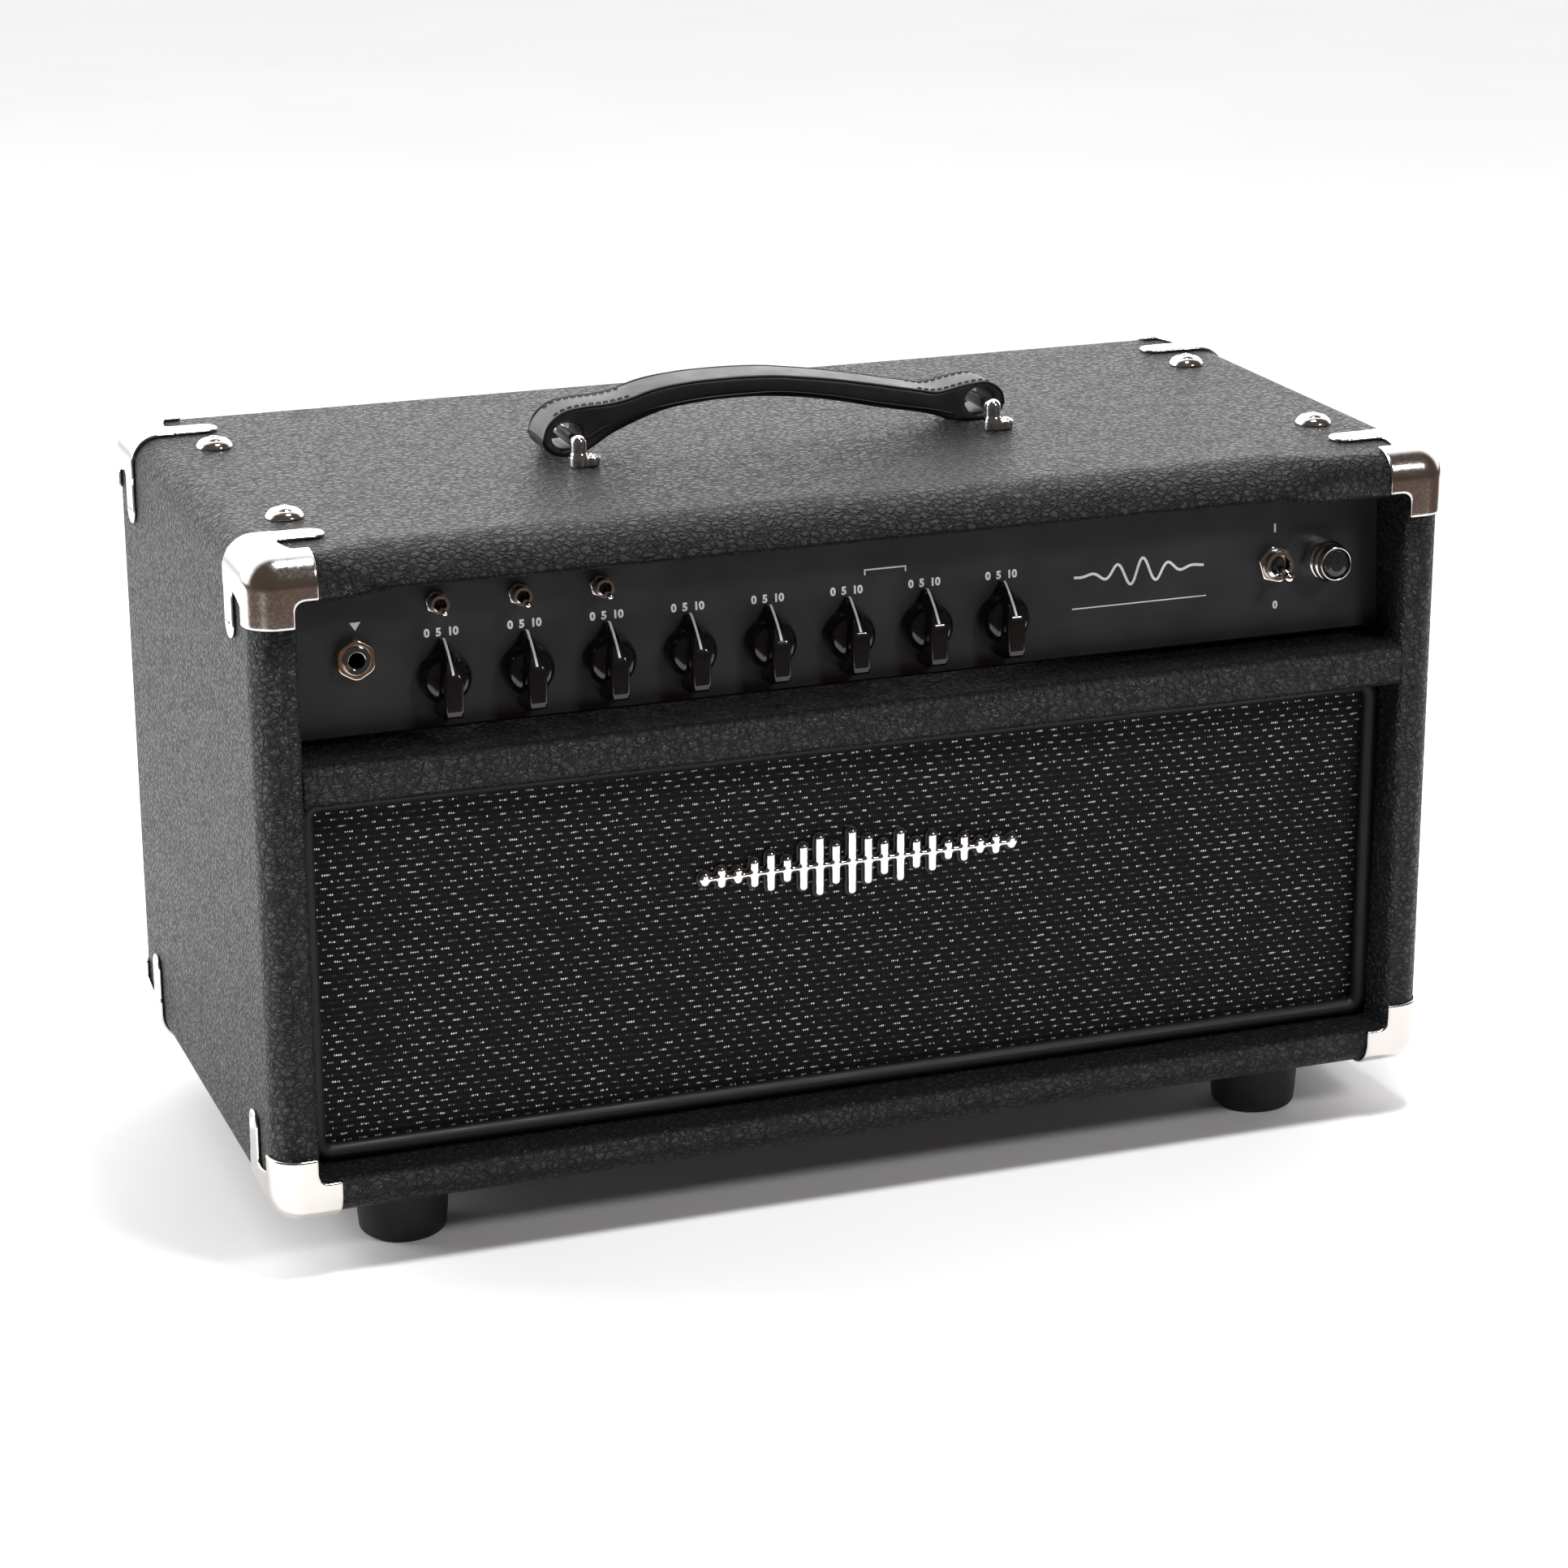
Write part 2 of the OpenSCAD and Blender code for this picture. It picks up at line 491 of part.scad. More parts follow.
module mains_rocker() color([0.15, 0.15, 0.15]) translate([rock_x, ch_y1 - 4, rear_z]) rotate([rock_a, 0, 0]) intersection() {
  translate([-7.3, -6, -9.6]) cube([14.6, 16, 19.2]);
  translate([-10, 0, 0]) rotate([0, 90, 0]) difference() {
    cylinder(r = 10.4, h = 20);
    translate([0, 20.6, -1]) cylinder(r = 15, h = 22);
  }
}

// ---- inside ----
module circuit_board() color([0.1, 0.35, 0.2]) {
  four(170, 58) translate([0, 4, ch_z + ch_t]) cylinder(r = 3, h = 7.95);
  box([-182, -62, ch_z + 9.5], [182, 70, ch_z + 11.1]);
  for (x = [60, 90, 120, 150]) translate([x, 40, ch_z + 11.15]) cylinder(r = 11, h = 34);
  for (x = [-170:20:30]) translate([x, -30, ch_z + 11.15]) cube([6, 16, 9]);
  for (x = [-160:26:20]) translate([x, 4, ch_z + 11.15]) cylinder(r = 4, h = 12);
}
module lam(w, d, h) {
  translate([-w/2, -d/2, -h]) cube([w, d, h]);
  translate([-w/2 + w/4, -d/2 - 9, -h + h/6]) cube([w/2, d + 18, 2*h/3]);
}
module transformers() color([0.2, 0.2, 0.22]) {
  translate([165, 10, ch_z]) lam(84, 60, 70);
  translate([-194, 10, ch_z]) lam(62, 44, 52);
}
module power_tubes() color([0.75, 0.8, 0.85]) for (x = [-30, 10, 50]) translate([x, 45, ch_z + 3]) mirror([0, 0, 1]) {
  translate([0, 0, -1.5]) cylinder(r = 9.4, h = 4.5);
  ring_foot(11.4);
  translate([0, 0, 9]) cylinder(r = 11, h = 54);
  translate([0, 0, 63]) sphere(11);
}
module ring_foot(r) { translate([0, 0, 3]) cylinder(r = r, h = 6); }
module preamp_tubes() color([0.8, 0.82, 0.85]) for (x = [-150, -115, -80]) translate([x, 20, ch_z + 3]) mirror([0, 0, 1]) {
  translate([0, 0, -1.5]) cylinder(r = 9.4, h = 4.5);
  ring_foot(11.4);
  translate([0, 0, 9]) cylinder(r = 10.5, h = 30);
  translate([0, 0, 39]) sphere(10.5);
}
module reverb_tank() color([0.55, 0.56, 0.58]) difference() {
  box([-212, -58, zin0], [212, 54, zin0 + 34]);
  box([-210.5, -56.5, zin0 + 1.5], [210.5, 52.5, zin0 + 35]);
}

cabinet_top();
cabinet_bottom();
cabinet_side(-1);  // cabinet_left
cabinet_side(1);  // cabinet_right
front_rail();
grille_baffle();
grille_cloth();
grille_piping();
grille_emblem();
rear_panel();
rear_vent_mesh();
rear_panel_screws();
rear_cleats();
corner_protectors();
corner_screws();
chassis_screws();
chassis_cup_washers();
rubber_feet();
foot_screws();
handle_strap();
handle_brackets();
handle_screws();
chassis();
control_panel();
input_jack();
panel_nuts();
knob(0);  // knob_treble
knob(1);  // knob_middle
knob(2);  // knob_bass
knob(3);  // knob_gain
knob(4);  // knob_master
knob(5);  // knob_send
knob(6);  // knob_return
knob(7);  // knob_presence
shaft(0);  // shaft_treble
shaft(1);  // shaft_middle
shaft(2);  // shaft_bass
shaft(3);  // shaft_gain
shaft(4);  // shaft_master
shaft(5);  // shaft_send
shaft(6);  // shaft_return
shaft(7);  // shaft_presence
potentiometers();
toggle_switches();
mini_lever(0);  // mini_lever_left
mini_lever(1);  // mini_lever_middle
mini_lever(2);  // mini_lever_right
standby_lever();
pilot_bezel();
pilot_jewel();
mains_inlet();
fuse_holder();
rear_jacks();
mains_switch();
mains_rocker();
circuit_board();
transformers();
power_tubes();
preamp_tubes();
reverb_tank();
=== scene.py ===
import bpy, bmesh, math, json, random
import numpy as np
from mathutils import Vector, Matrix

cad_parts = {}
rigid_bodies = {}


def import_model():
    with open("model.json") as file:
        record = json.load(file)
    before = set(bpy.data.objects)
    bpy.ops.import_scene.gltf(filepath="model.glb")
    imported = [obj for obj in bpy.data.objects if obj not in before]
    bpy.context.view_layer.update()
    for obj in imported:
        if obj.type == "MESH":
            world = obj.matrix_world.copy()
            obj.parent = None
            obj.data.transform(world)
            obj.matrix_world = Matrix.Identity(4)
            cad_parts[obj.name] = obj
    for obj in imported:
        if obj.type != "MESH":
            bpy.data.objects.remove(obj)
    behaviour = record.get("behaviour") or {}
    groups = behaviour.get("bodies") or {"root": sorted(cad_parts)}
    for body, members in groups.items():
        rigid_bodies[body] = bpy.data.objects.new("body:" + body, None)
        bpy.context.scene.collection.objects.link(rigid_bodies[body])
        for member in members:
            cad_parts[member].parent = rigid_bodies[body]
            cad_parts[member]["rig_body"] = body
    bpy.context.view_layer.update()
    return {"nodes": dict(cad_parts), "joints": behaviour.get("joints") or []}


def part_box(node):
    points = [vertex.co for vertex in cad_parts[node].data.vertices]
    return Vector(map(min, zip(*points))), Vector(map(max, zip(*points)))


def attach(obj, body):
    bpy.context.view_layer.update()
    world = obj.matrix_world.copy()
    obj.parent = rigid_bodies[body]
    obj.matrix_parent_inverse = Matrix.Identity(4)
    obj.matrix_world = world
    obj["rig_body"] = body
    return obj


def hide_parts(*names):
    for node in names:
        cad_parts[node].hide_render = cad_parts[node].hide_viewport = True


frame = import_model()
MM = 0.001
rng = random.Random(7)

# ------------------------------------------------------------------ frame values (mm)
def nbox(n):
    a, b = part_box(n)
    return np.array(a) * 1000, np.array(b) * 1000
tlo, thi = nbox("cabinet_top"); blo, bhi = nbox("cabinet_bottom"); llo, lhi = nbox("cabinet_left")
rlo, rhi = nbox("front_rail"); clo, chi = nbox("grille_cloth"); rplo, rphi = nbox("rear_panel")
HW, HD, Z1, Z0 = thi[0], thi[1], thi[2], blo[2]
IW = -lhi[0]; ZIN0, ZIN1 = bhi[2], tlo[2]
T = HW - IW
joints = {j["name"]: j for j in frame["joints"]}
KN = ["treble", "middle", "bass", "gain", "master", "send", "return", "presence"]
N = Vector(joints["turn_treble"]["axis"]).normalized()          # panel normal
UP = Vector((0, N.z, -N.y)).normalized()                       # up along the panel
BASE = Vector(joints["turn_treble"]["pos_m"]) * 1000
BASE = BASE - UP * (-8.8); BASE.x = 0
def pan(u, v, w=0.0):
    return Vector((u, 0, 0)) + Vector((0, BASE.y, BASE.z)) + UP * v + N * w
def panM(u, v, w=0.0):
    p = pan(u, v, w)
    return Matrix(((1, UP.x, N.x, p.x), (0, UP.y, N.y, p.y), (0, UP.z, N.z, p.z), (0, 0, 0, 1)))
def mat_z(p, x=(1, 0, 0), y=(0, 1, 0), z=(0, 0, 1)):
    return Matrix(((x[0], y[0], z[0], p[0]), (x[1], y[1], z[1], p[1]), (x[2], y[2], z[2], p[2]), (0, 0, 0, 1)))

# ------------------------------------------------------------------ materials
class Nt:
    def __init__(self, name):
        self.m = bpy.data.materials.new(name); self.m.use_nodes = True
        self.t = self.m.node_tree; self.t.nodes.clear()
        self.out = self.n("ShaderNodeOutputMaterial"); self.p = self.n("ShaderNodeBsdfPrincipled")
        self.t.links.new(self.p.outputs[0], self.out.inputs[0])
        self.co = None
    def n(self, kind, **kw):
        x = self.t.nodes.new(kind)
        for k, v in kw.items(): setattr(x, k, v)
        return x
    def l(self, a, b): self.t.links.new(a, b)
    def obj(self):
        if self.co is None: self.co = self.n("ShaderNodeTexCoord").outputs["Object"]
        return self.co
    def noise(self, scale, detail=2.0, rough=0.5, co=None, out="Fac"):
        x = self.n("ShaderNodeTexNoise"); x.inputs["Scale"].default_value = scale
        x.inputs["Detail"].default_value = detail; x.inputs["Roughness"].default_value = rough
        self.l(co if co is not None else self.obj(), x.inputs["Vector"]); return x.outputs[out]
    def vor(self, scale, feature="F1", co=None, rand=1.0, out="Distance"):
        x = self.n("ShaderNodeTexVoronoi", feature=feature); x.inputs["Scale"].default_value = scale
        x.inputs["Randomness"].default_value = rand
        self.l(co if co is not None else self.obj(), x.inputs["Vector"]); return x.outputs[out]
    def map(self, v, a, b, c, d, clamp=True):
        x = self.n("ShaderNodeMapRange"); x.clamp = clamp
        for k, q in zip((1, 2, 3, 4), (a, b, c, d)): x.inputs[k].default_value = q
        self.l(v, x.inputs[0]); return x.outputs[0]
    def math(self, op, a, b=None, c=None):
        x = self.n("ShaderNodeMath", operation=op)
        for i, q in enumerate((a, b, c)):
            if q is None: continue
            if isinstance(q, (int, float)): x.inputs[i].default_value = q
            else: self.l(q, x.inputs[i])
        return x.outputs[0]
    def vadd(self, a, b, scale=1.0):
        s = self.n("ShaderNodeVectorMath", operation="SCALE"); self.l(b, s.inputs[0]); s.inputs[3].default_value = scale
        x = self.n("ShaderNodeVectorMath", operation="ADD"); self.l(a, x.inputs[0]); self.l(s.outputs[0], x.inputs[1]); return x.outputs[0]
    def ramp(self, v, stops):
        x = self.n("ShaderNodeValToRGB"); e = x.color_ramp.elements
        while len(e) < len(stops): e.new(0.5)
        for k, (pos, col) in zip(e, stops):
            k.position = pos; k.color = (*col, 1)
        self.l(v, x.inputs[0]); return x.outputs[0]
    def bump(self, h, strength=0.5, dist=0.0003):
        x = self.n("ShaderNodeBump"); x.inputs["Strength"].default_value = strength
        x.inputs["Distance"].default_value = dist; self.l(h, x.inputs["Height"])
        self.l(x.outputs[0], self.p.inputs["Normal"]); return x.outputs[0]
    def set(self, **kw):
        for k, v in kw.items():
            s = self.p.inputs[k.replace("_", " ")]
            if hasattr(v, "is_linked") or hasattr(v, "node"): self.l(v, s)
            else: s.default_value = (*v, 1) if isinstance(v, tuple) and len(v) == 3 else v
        return self

def tolex():
    m = Nt("tolex_black")
    mp = m.n("ShaderNodeMapping"); mp.inputs["Scale"].default_value = (0.72, 0.85, 1.0); m.l(m.obj(), mp.inputs[0]); base = mp.outputs[0]
    warp = m.noise(300, 3, 0.65, out="Color"); co = m.vadd(base, warp, 0.0030)
    big = m.map(m.vor(390, "DISTANCE_TO_EDGE", co), 0.0, 0.30, 0.0, 1.0)
    co2 = m.vadd(base, m.noise(900, 2, 0.6, out="Color"), 0.0012)
    small = m.map(m.vor(980, "DISTANCE_TO_EDGE", co2), 0.0, 0.26, 0.0, 1.0)
    fine = m.noise(3200, 2, 0.6); swell = m.noise(170, 3, 0.6)
    h = m.math("MULTIPLY_ADD", small, 0.30, m.math("MULTIPLY", big, 0.70))
    h = m.math("MULTIPLY_ADD", fine, 0.14, m.math("MULTIPLY_ADD", swell, 0.55, h))
    tone = m.noise(11, 3, 0.6)
    # base colour darker in the grain's crevices and lighter on its ridges, taken from the height h: painted shade in
    # the crevices and a painted highlight on the ridges; tone adds random tone differences. The lower specular level in
    # the crevices is painted shade as well.
    col = m.ramp(m.math("MULTIPLY_ADD", tone, 0.16, m.math("MULTIPLY", h, 0.55)), [(0.14, (0.0012, 0.0012, 0.0014)), (0.55, (0.010, 0.0096, 0.0108)), (0.90, (0.032, 0.031, 0.034))])
    m.set(Base_Color=col, Roughness=m.map(h, 0.2, 1.3, 0.60, 0.27), Specular_IOR_Level=m.map(h, 0.35, 1.15, 0.17, 0.41))
    m.bump(h, 1.0, 0.0026)
    return m.m

def leather():
    m = Nt("strap_leather")
    co = m.vadd(m.obj(), m.noise(300, 2, out="Color"), 0.0008)
    h = m.math("MULTIPLY_ADD", m.map(m.vor(1500, "DISTANCE_TO_EDGE", co), 0, 0.3, 0, 1), 0.5, m.noise(3200, 2))
    col = m.ramp(m.noise(60, 3), [(0.3, (0.008, 0.008, 0.009)), (0.75, (0.018, 0.0175, 0.018))])
    m.set(Base_Color=col, Roughness=m.map(m.noise(90, 3), 0.3, 0.7, 0.36, 0.48), Specular_IOR_Level=0.40)
    m.bump(h, 0.28, 0.00012)
    return m.m

def thread():
    m = Nt("strap_thread")
    m.set(Base_Color=m.ramp(m.noise(1800, 2), [(0.3, (0.02, 0.02, 0.02)), (0.7, (0.09, 0.09, 0.09))]), Roughness=0.6)
    m.bump(m.noise(6000, 2), 0.5, 0.0001)
    return m.m

def metal(name, col, r0, r1, wav=0.12, brushed=False, scale=70):
    m = Nt(name)
    n1 = m.noise(scale, 3); n2 = m.noise(900, 3, 0.6)
    tint = m.ramp(n1, [(0.3, tuple(c * 0.93 for c in col)), (0.7, col)])
    m.set(Base_Color=tint, Metallic=1.0, Roughness=m.map(n2, 0.3, 0.75, r0, r1))
    if brushed:
        mp = m.n("ShaderNodeMapping"); mp.inputs["Scale"].default_value = (60, 2200, 2200); m.l(m.obj(), mp.inputs[0])
        m.bump(m.noise(1.0, 3, co=mp.outputs[0]), 0.18, 0.0001)
    else:
        m.bump(m.math("MULTIPLY_ADD", n2, 0.06, n1), wav, 0.0006)
    return m.m

def plastic(name, col, r0, r1, bump=0.12, scale=1500, spec=0.5, coat=0.0):
    m = Nt(name)
    n2 = m.noise(scale, 3, 0.6); n1 = m.noise(45, 3)
    m.set(Base_Color=m.ramp(n1, [(0.3, tuple(c * 0.8 for c in col)), (0.72, tuple(min(1, c * 1.15) for c in col))]),
          Roughness=m.map(n1, 0.3, 0.7, r0, r1), Specular_IOR_Level=spec, Coat_Weight=coat, Coat_Roughness=0.08)
    m.bump(n2, bump, 0.00008)
    return m.m

def rubber():
    m = Nt("foot_rubber")
    n2 = m.noise(1400, 4, 0.65)
    m.set(Base_Color=m.ramp(m.noise(50, 4), [(0.3, (0.006, 0.006, 0.006)), (0.75, (0.016, 0.016, 0.0165))]), Roughness=m.map(n2, 0.3, 0.7, 0.55, 0.75), Specular_IOR_Level=0.3)
    m.bump(n2, 0.35, 0.0002)
    return m.m

def cloth():
    """black ribbed grille cloth; silver tinsel threads surface in short dashes of beads"""
    m = Nt("grille_cloth_tinsel")
    sep = m.n("ShaderNodeSeparateXYZ"); m.l(m.obj(), sep.inputs[0]); x, z = sep.outputs[0], sep.outputs[2]
    wob = m.noise(120, 2); wob2 = m.noise(35, 2)
    zz = m.math("ADD", z, m.math("MULTIPLY", m.math("SUBTRACT", wob, 0.5), 0.0012))
    rowf = m.math("DIVIDE", zz, 0.00278)
    row = m.math("FLOOR", rowf); rf = m.math("SUBTRACT", rowf, row)
    ribf = m.math("DIVIDE", m.math("ADD", x, m.math("MULTIPLY", m.math("SUBTRACT", wob2, 0.5), 0.0006)), 0.00090)
    rib = m.math("FLOOR", ribf); rx = m.math("SUBTRACT", ribf, rib)
    ribh = m.math("SINE", m.math("MULTIPLY", rx, math.pi))
    wn = m.n("ShaderNodeTexWhiteNoise", noise_dimensions="1D"); m.l(row, wn.inputs["W"])
    ph = m.math("ADD", m.math("MULTIPLY", row, 0.42), m.math("MULTIPLY", wn.outputs["Value"], 0.22))
    cell = m.math("ADD", m.math("DIVIDE", x, 0.0062), ph)
    cid = m.math("FLOOR", cell); cf = m.math("SUBTRACT", cell, cid)
    comb = m.n("ShaderNodeCombineXYZ"); m.l(cid, comb.inputs[0]); m.l(row, comb.inputs[1])
    wc = m.n("ShaderNodeTexWhiteNoise", noise_dimensions="3D"); m.l(comb.outputs[0], wc.inputs["Vector"])
    cb = m.n("ShaderNodeCombineXYZ"); m.l(rib, cb.inputs[0]); m.l(row, cb.inputs[1])
    wb = m.n("ShaderNodeTexWhiteNoise", noise_dimensions="3D"); m.l(cb.outputs[0], wb.inputs["Vector"])
    half = m.math("MULTIPLY_ADD", wc.outputs["Value"], 0.16, 0.13)
    indash = m.math("LESS_THAN", m.math("ABSOLUTE", m.math("SUBTRACT", cf, 0.5)), half)
    inrow = m.math("LESS_THAN", m.math("ABSOLUTE", m.math("SUBTRACT", rf, 0.5)), m.math("MULTIPLY_ADD", wb.outputs["Value"], 0.085, 0.05))
    bead = m.math("GREATER_THAN", ribh, 0.62)
    mask = m.math("MULTIPLY", m.math("MULTIPLY", indash, inrow), bead)
    bright = m.math("MULTIPLY", mask, m.map(m.math("MULTIPLY", wb.outputs["Value"], m.map(wc.outputs["Value"], 0, 1, 0.6, 1.0)), 0.08, 0.66, 0.06, 1.0))
    # base colour darker in the grooves between ribs and rows and lighter on their tops: painted shade in the grooves
    # and a painted highlight on the tops; the fine noise adds random tone.
    bg = m.ramp(m.math("MULTIPLY_ADD", m.noise(3200, 2), 0.5, m.math("MULTIPLY", m.math("MULTIPLY", ribh, m.math("MULTIPLY_ADD", m.math("SINE", m.math("MULTIPLY", rf, math.pi)), 0.7, 0.35)), 0.55)), [(0.2, (0.002, 0.002, 0.0024)), (0.62, (0.0085, 0.008, 0.009)), (1.0, (0.028, 0.026, 0.029))])
    mix = m.n("ShaderNodeMix", data_type="RGBA"); m.l(bright, mix.inputs[0]); m.l(bg, mix.inputs[6]); mix.inputs[7].default_value = (1.0, 0.99, 0.97, 1)
    m.set(Base_Color=mix.outputs[2], Roughness=m.map(bright, 0, 1, 0.85, 0.42), Metallic=m.math("MULTIPLY", mask, 0.25), Specular_IOR_Level=0.2)
    rowh = m.math("SINE", m.math("MULTIPLY", rf, math.pi))
    h = m.math("ADD", m.math("MULTIPLY", ribh, 0.5), m.math("ADD", m.math("MULTIPLY", rowh, 0.25), m.math("MULTIPLY", mask, 0.5)))
    m.bump(h, 0.8, 0.00028)
    return m.m

def woodm():
    m = Nt("plywood")
    mp = m.n("ShaderNodeMapping"); mp.inputs["Scale"].default_value = (6, 70, 70); m.l(m.obj(), mp.inputs[0])
    n = m.noise(3.0, 6, 0.6, co=mp.outputs[0])
    m.set(Base_Color=m.ramp(n, [(0.3, (0.30, 0.19, 0.10)), (0.7, (0.52, 0.37, 0.21))]), Roughness=m.map(n, 0.3, 0.7, 0.55, 0.7))
    m.bump(n, 0.25, 0.0004)
    return m.m

def glassm(name, col, rough, trans):
    m = Nt(name)
    n = m.noise(500, 2)
    m.set(Base_Color=m.ramp(n, [(0.3, tuple(c * 0.9 for c in col)), (0.7, col)]), Roughness=rough, Transmission_Weight=trans, IOR=1.5)
    m.bump(n, 0.03, 0.0001)
    return m.m

def pcb():
    m = Nt("board_green")
    n = m.noise(300, 4); v = m.vor(90, "F1", rand=0.6)
    m.set(Base_Color=m.ramp(m.math("MULTIPLY_ADD", v, 0.5, m.math("MULTIPLY", n, 0.5)), [(0.2, (0.004, 0.07, 0.03)), (0.5, (0.01, 0.12, 0.05)), (0.9, (0.30, 0.26, 0.14))]), Roughness=m.map(n, 0.3, 0.7, 0.35, 0.55))
    m.bump(n, 0.3, 0.0003)
    return m.m

def tube_mat():
    m = Nt("tube_glass")
    sep = m.n("ShaderNodeSeparateXYZ"); m.l(m.obj(), sep.inputs[0])
    n = m.noise(160, 3)
    band = m.math("SINE", m.math("MULTIPLY", sep.outputs[2], 700.0))
    m.set(Base_Color=m.ramp(m.math("MULTIPLY_ADD", band, 0.12, n), [(0.3, (0.02, 0.02, 0.022)), (0.6, (0.16, 0.17, 0.18)), (0.8, (0.5, 0.52, 0.55))]), Roughness=0.06, Transmission_Weight=0.35, IOR=1.5)
    m.bump(n, 0.05, 0.0003)
    return m.m

M = dict(tolex=tolex(), leather=leather(), thread=thread(), rubber=rubber(), cloth=cloth(), wood=woodm(), pcb=pcb(), tube=tube_mat(),
    chrome=metal("nickel_chrome", (0.86, 0.84, 0.82), 0.05, 0.14), chrome_b=metal("chrome_bright", (0.9, 0.89, 0.88), 0.04, 0.1, 0.03),
    guard=metal("corner_nickel", (0.72, 0.69, 0.66), 0.10, 0.21, 0.26, scale=55),
    warm=metal("nickel_warm", (0.86, 0.70, 0.56), 0.09, 0.2, 0.1), zinc=metal("zinc_steel", (0.62, 0.63, 0.65), 0.28, 0.45, brushed=True), alu=metal("shaft_alu", (0.75, 0.75, 0.77), 0.2, 0.34, brushed=True),
    edge=plastic("panel_edge", (0.016, 0.016, 0.017), 0.5, 0.62, 0.2, 1800, 0.35),
    knob=plastic("knob_gloss", (0.006, 0.006, 0.0065), 0.08, 0.15, 0.04, 2200, 0.48, 0.25),
    panel=plastic("panel_black", (0.022, 0.022, 0.0235), 0.36, 0.46, 0.22, 3600, 0.5),
    vinyl=plastic("piping_vinyl", (0.007, 0.007, 0.0075), 0.42, 0.55, 0.35, 1800, 0.3),
    black=plastic("black_plastic", (0.018, 0.018, 0.019), 0.38, 0.52, 0.3, 1900, 0.5),
    mesh=plastic("vent_black", (0.02, 0.02, 0.02), 0.42, 0.6, 0.3, 1500, 0.5),
    white=plastic("label_white", (0.92, 0.92, 0.91), 0.35, 0.5, 0.15, 3000, 0.4),
    pointer=plastic("pointer_white", (0.93, 0.93, 0.92), 0.22, 0.32, 0.1, 2500, 0.5),
    iron=plastic("iron_core", (0.03, 0.03, 0.034), 0.3, 0.5, 0.4, 500, 0.5),
    # near-black used for the disc in the jack bore, the disc under the lamp jewel and the lever pivot balls: painted
    # shade
    dark=plastic("painted_shade_black", (0.006, 0.006, 0.006), 0.5, 0.7, 0.2, 900, 0.4),
    jewel=glassm("jewel_glass", (0.035, 0.04, 0.045), 0.03, 0.35))

# ------------------------------------------------------------------ mesh tools (all in mm)
def finish_obj(name, me, mat, body, replaces=(), smooth=True, recalc=True):
    if recalc:
        bm = bmesh.new(); bm.from_mesh(me)
        bmesh.ops.remove_doubles(bm, verts=bm.verts, dist=1e-7)
        bmesh.ops.recalc_face_normals(bm, faces=bm.faces); bm.to_mesh(me); bm.free()
    if smooth: me.polygons.foreach_set("use_smooth", [True] * len(me.polygons))
    o = bpy.data.objects.new(name, me); bpy.context.scene.collection.objects.link(o)
    if mat is not None: me.materials.append(mat)
    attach(o, body)
    if replaces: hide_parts(*replaces)
    return o

def build(name, V, F, mat, body="cabinet", replaces=(), smooth=True, recalc=True):
    me = bpy.data.meshes.new(name)
    me.from_pydata([tuple(float(c) * MM for c in v) for v in V], [], [tuple(int(i) for i in f) for f in F])
    me.validate()
    return finish_obj(name, me, mat, body, replaces, smooth, recalc)

def xf(Mx, V):
    A = np.array(Mx)[:3, :3]; b = np.array(Mx)[:3, 3]
    return np.asarray(V, float) @ A.T + b

def join(parts):
    V, F, k = [], [], 0
    for v, f in parts:
        v = np.asarray(v, float); V.append(v); F += [tuple(i + k for i in q) for q in f]; k += len(v)
    return np.concatenate(V), F

def lathe(prof, n=48, phase=0.0):
    """prof: (r, z) points; r=0 ends are closed to a point"""
    V, F, rings = [], [], []
    for r, z in prof:
        if r < 1e-6:
            rings.append([len(V)]); V.append((0, 0, z))
        else:
            rings.append(list(range(len(V), len(V) + n)))
            V += [(r * math.cos(phase + 2 * math.pi * i / n), r * math.sin(phase + 2 * math.pi * i / n), z) for i in range(n)]
    for a, b in zip(rings, rings[1:]):
        for i in range(n):
            j = (i + 1) % n
            if len(a) == 1 and len(b) == 1: break
            if len(a) == 1: F.append((a[0], b[i], b[j]))
            elif len(b) == 1: F.append((a[i], a[j], b[0]))
            else: F.append((a[i], a[j], b[j], b[i]))
    return np.array(V, float), F

def rounded(prof, r=0.3, n=3):
    """rounds the inner corners of an (r, z) profile"""
    out = [prof[0]]
    for a, b, c in zip(prof, prof[1:], prof[2:]):
        a, b, c = map(np.array, (a, b, c)); la, lc = np.linalg.norm(a - b), np.linalg.norm(c - b)
        k = min(r, la * 0.45, lc * 0.45)
        if k < 1e-4: out.append(tuple(b)); continue
        p, q = b + (a - b) / la * k, b + (c - b) / lc * k
        for i in range(n + 1):
            t = i / n; out.append(tuple((1 - t) ** 2 * p + 2 * t * (1 - t) * b + t * t * q))
    out.append(prof[-1]); return [tuple(map(float, p)) for p in out]

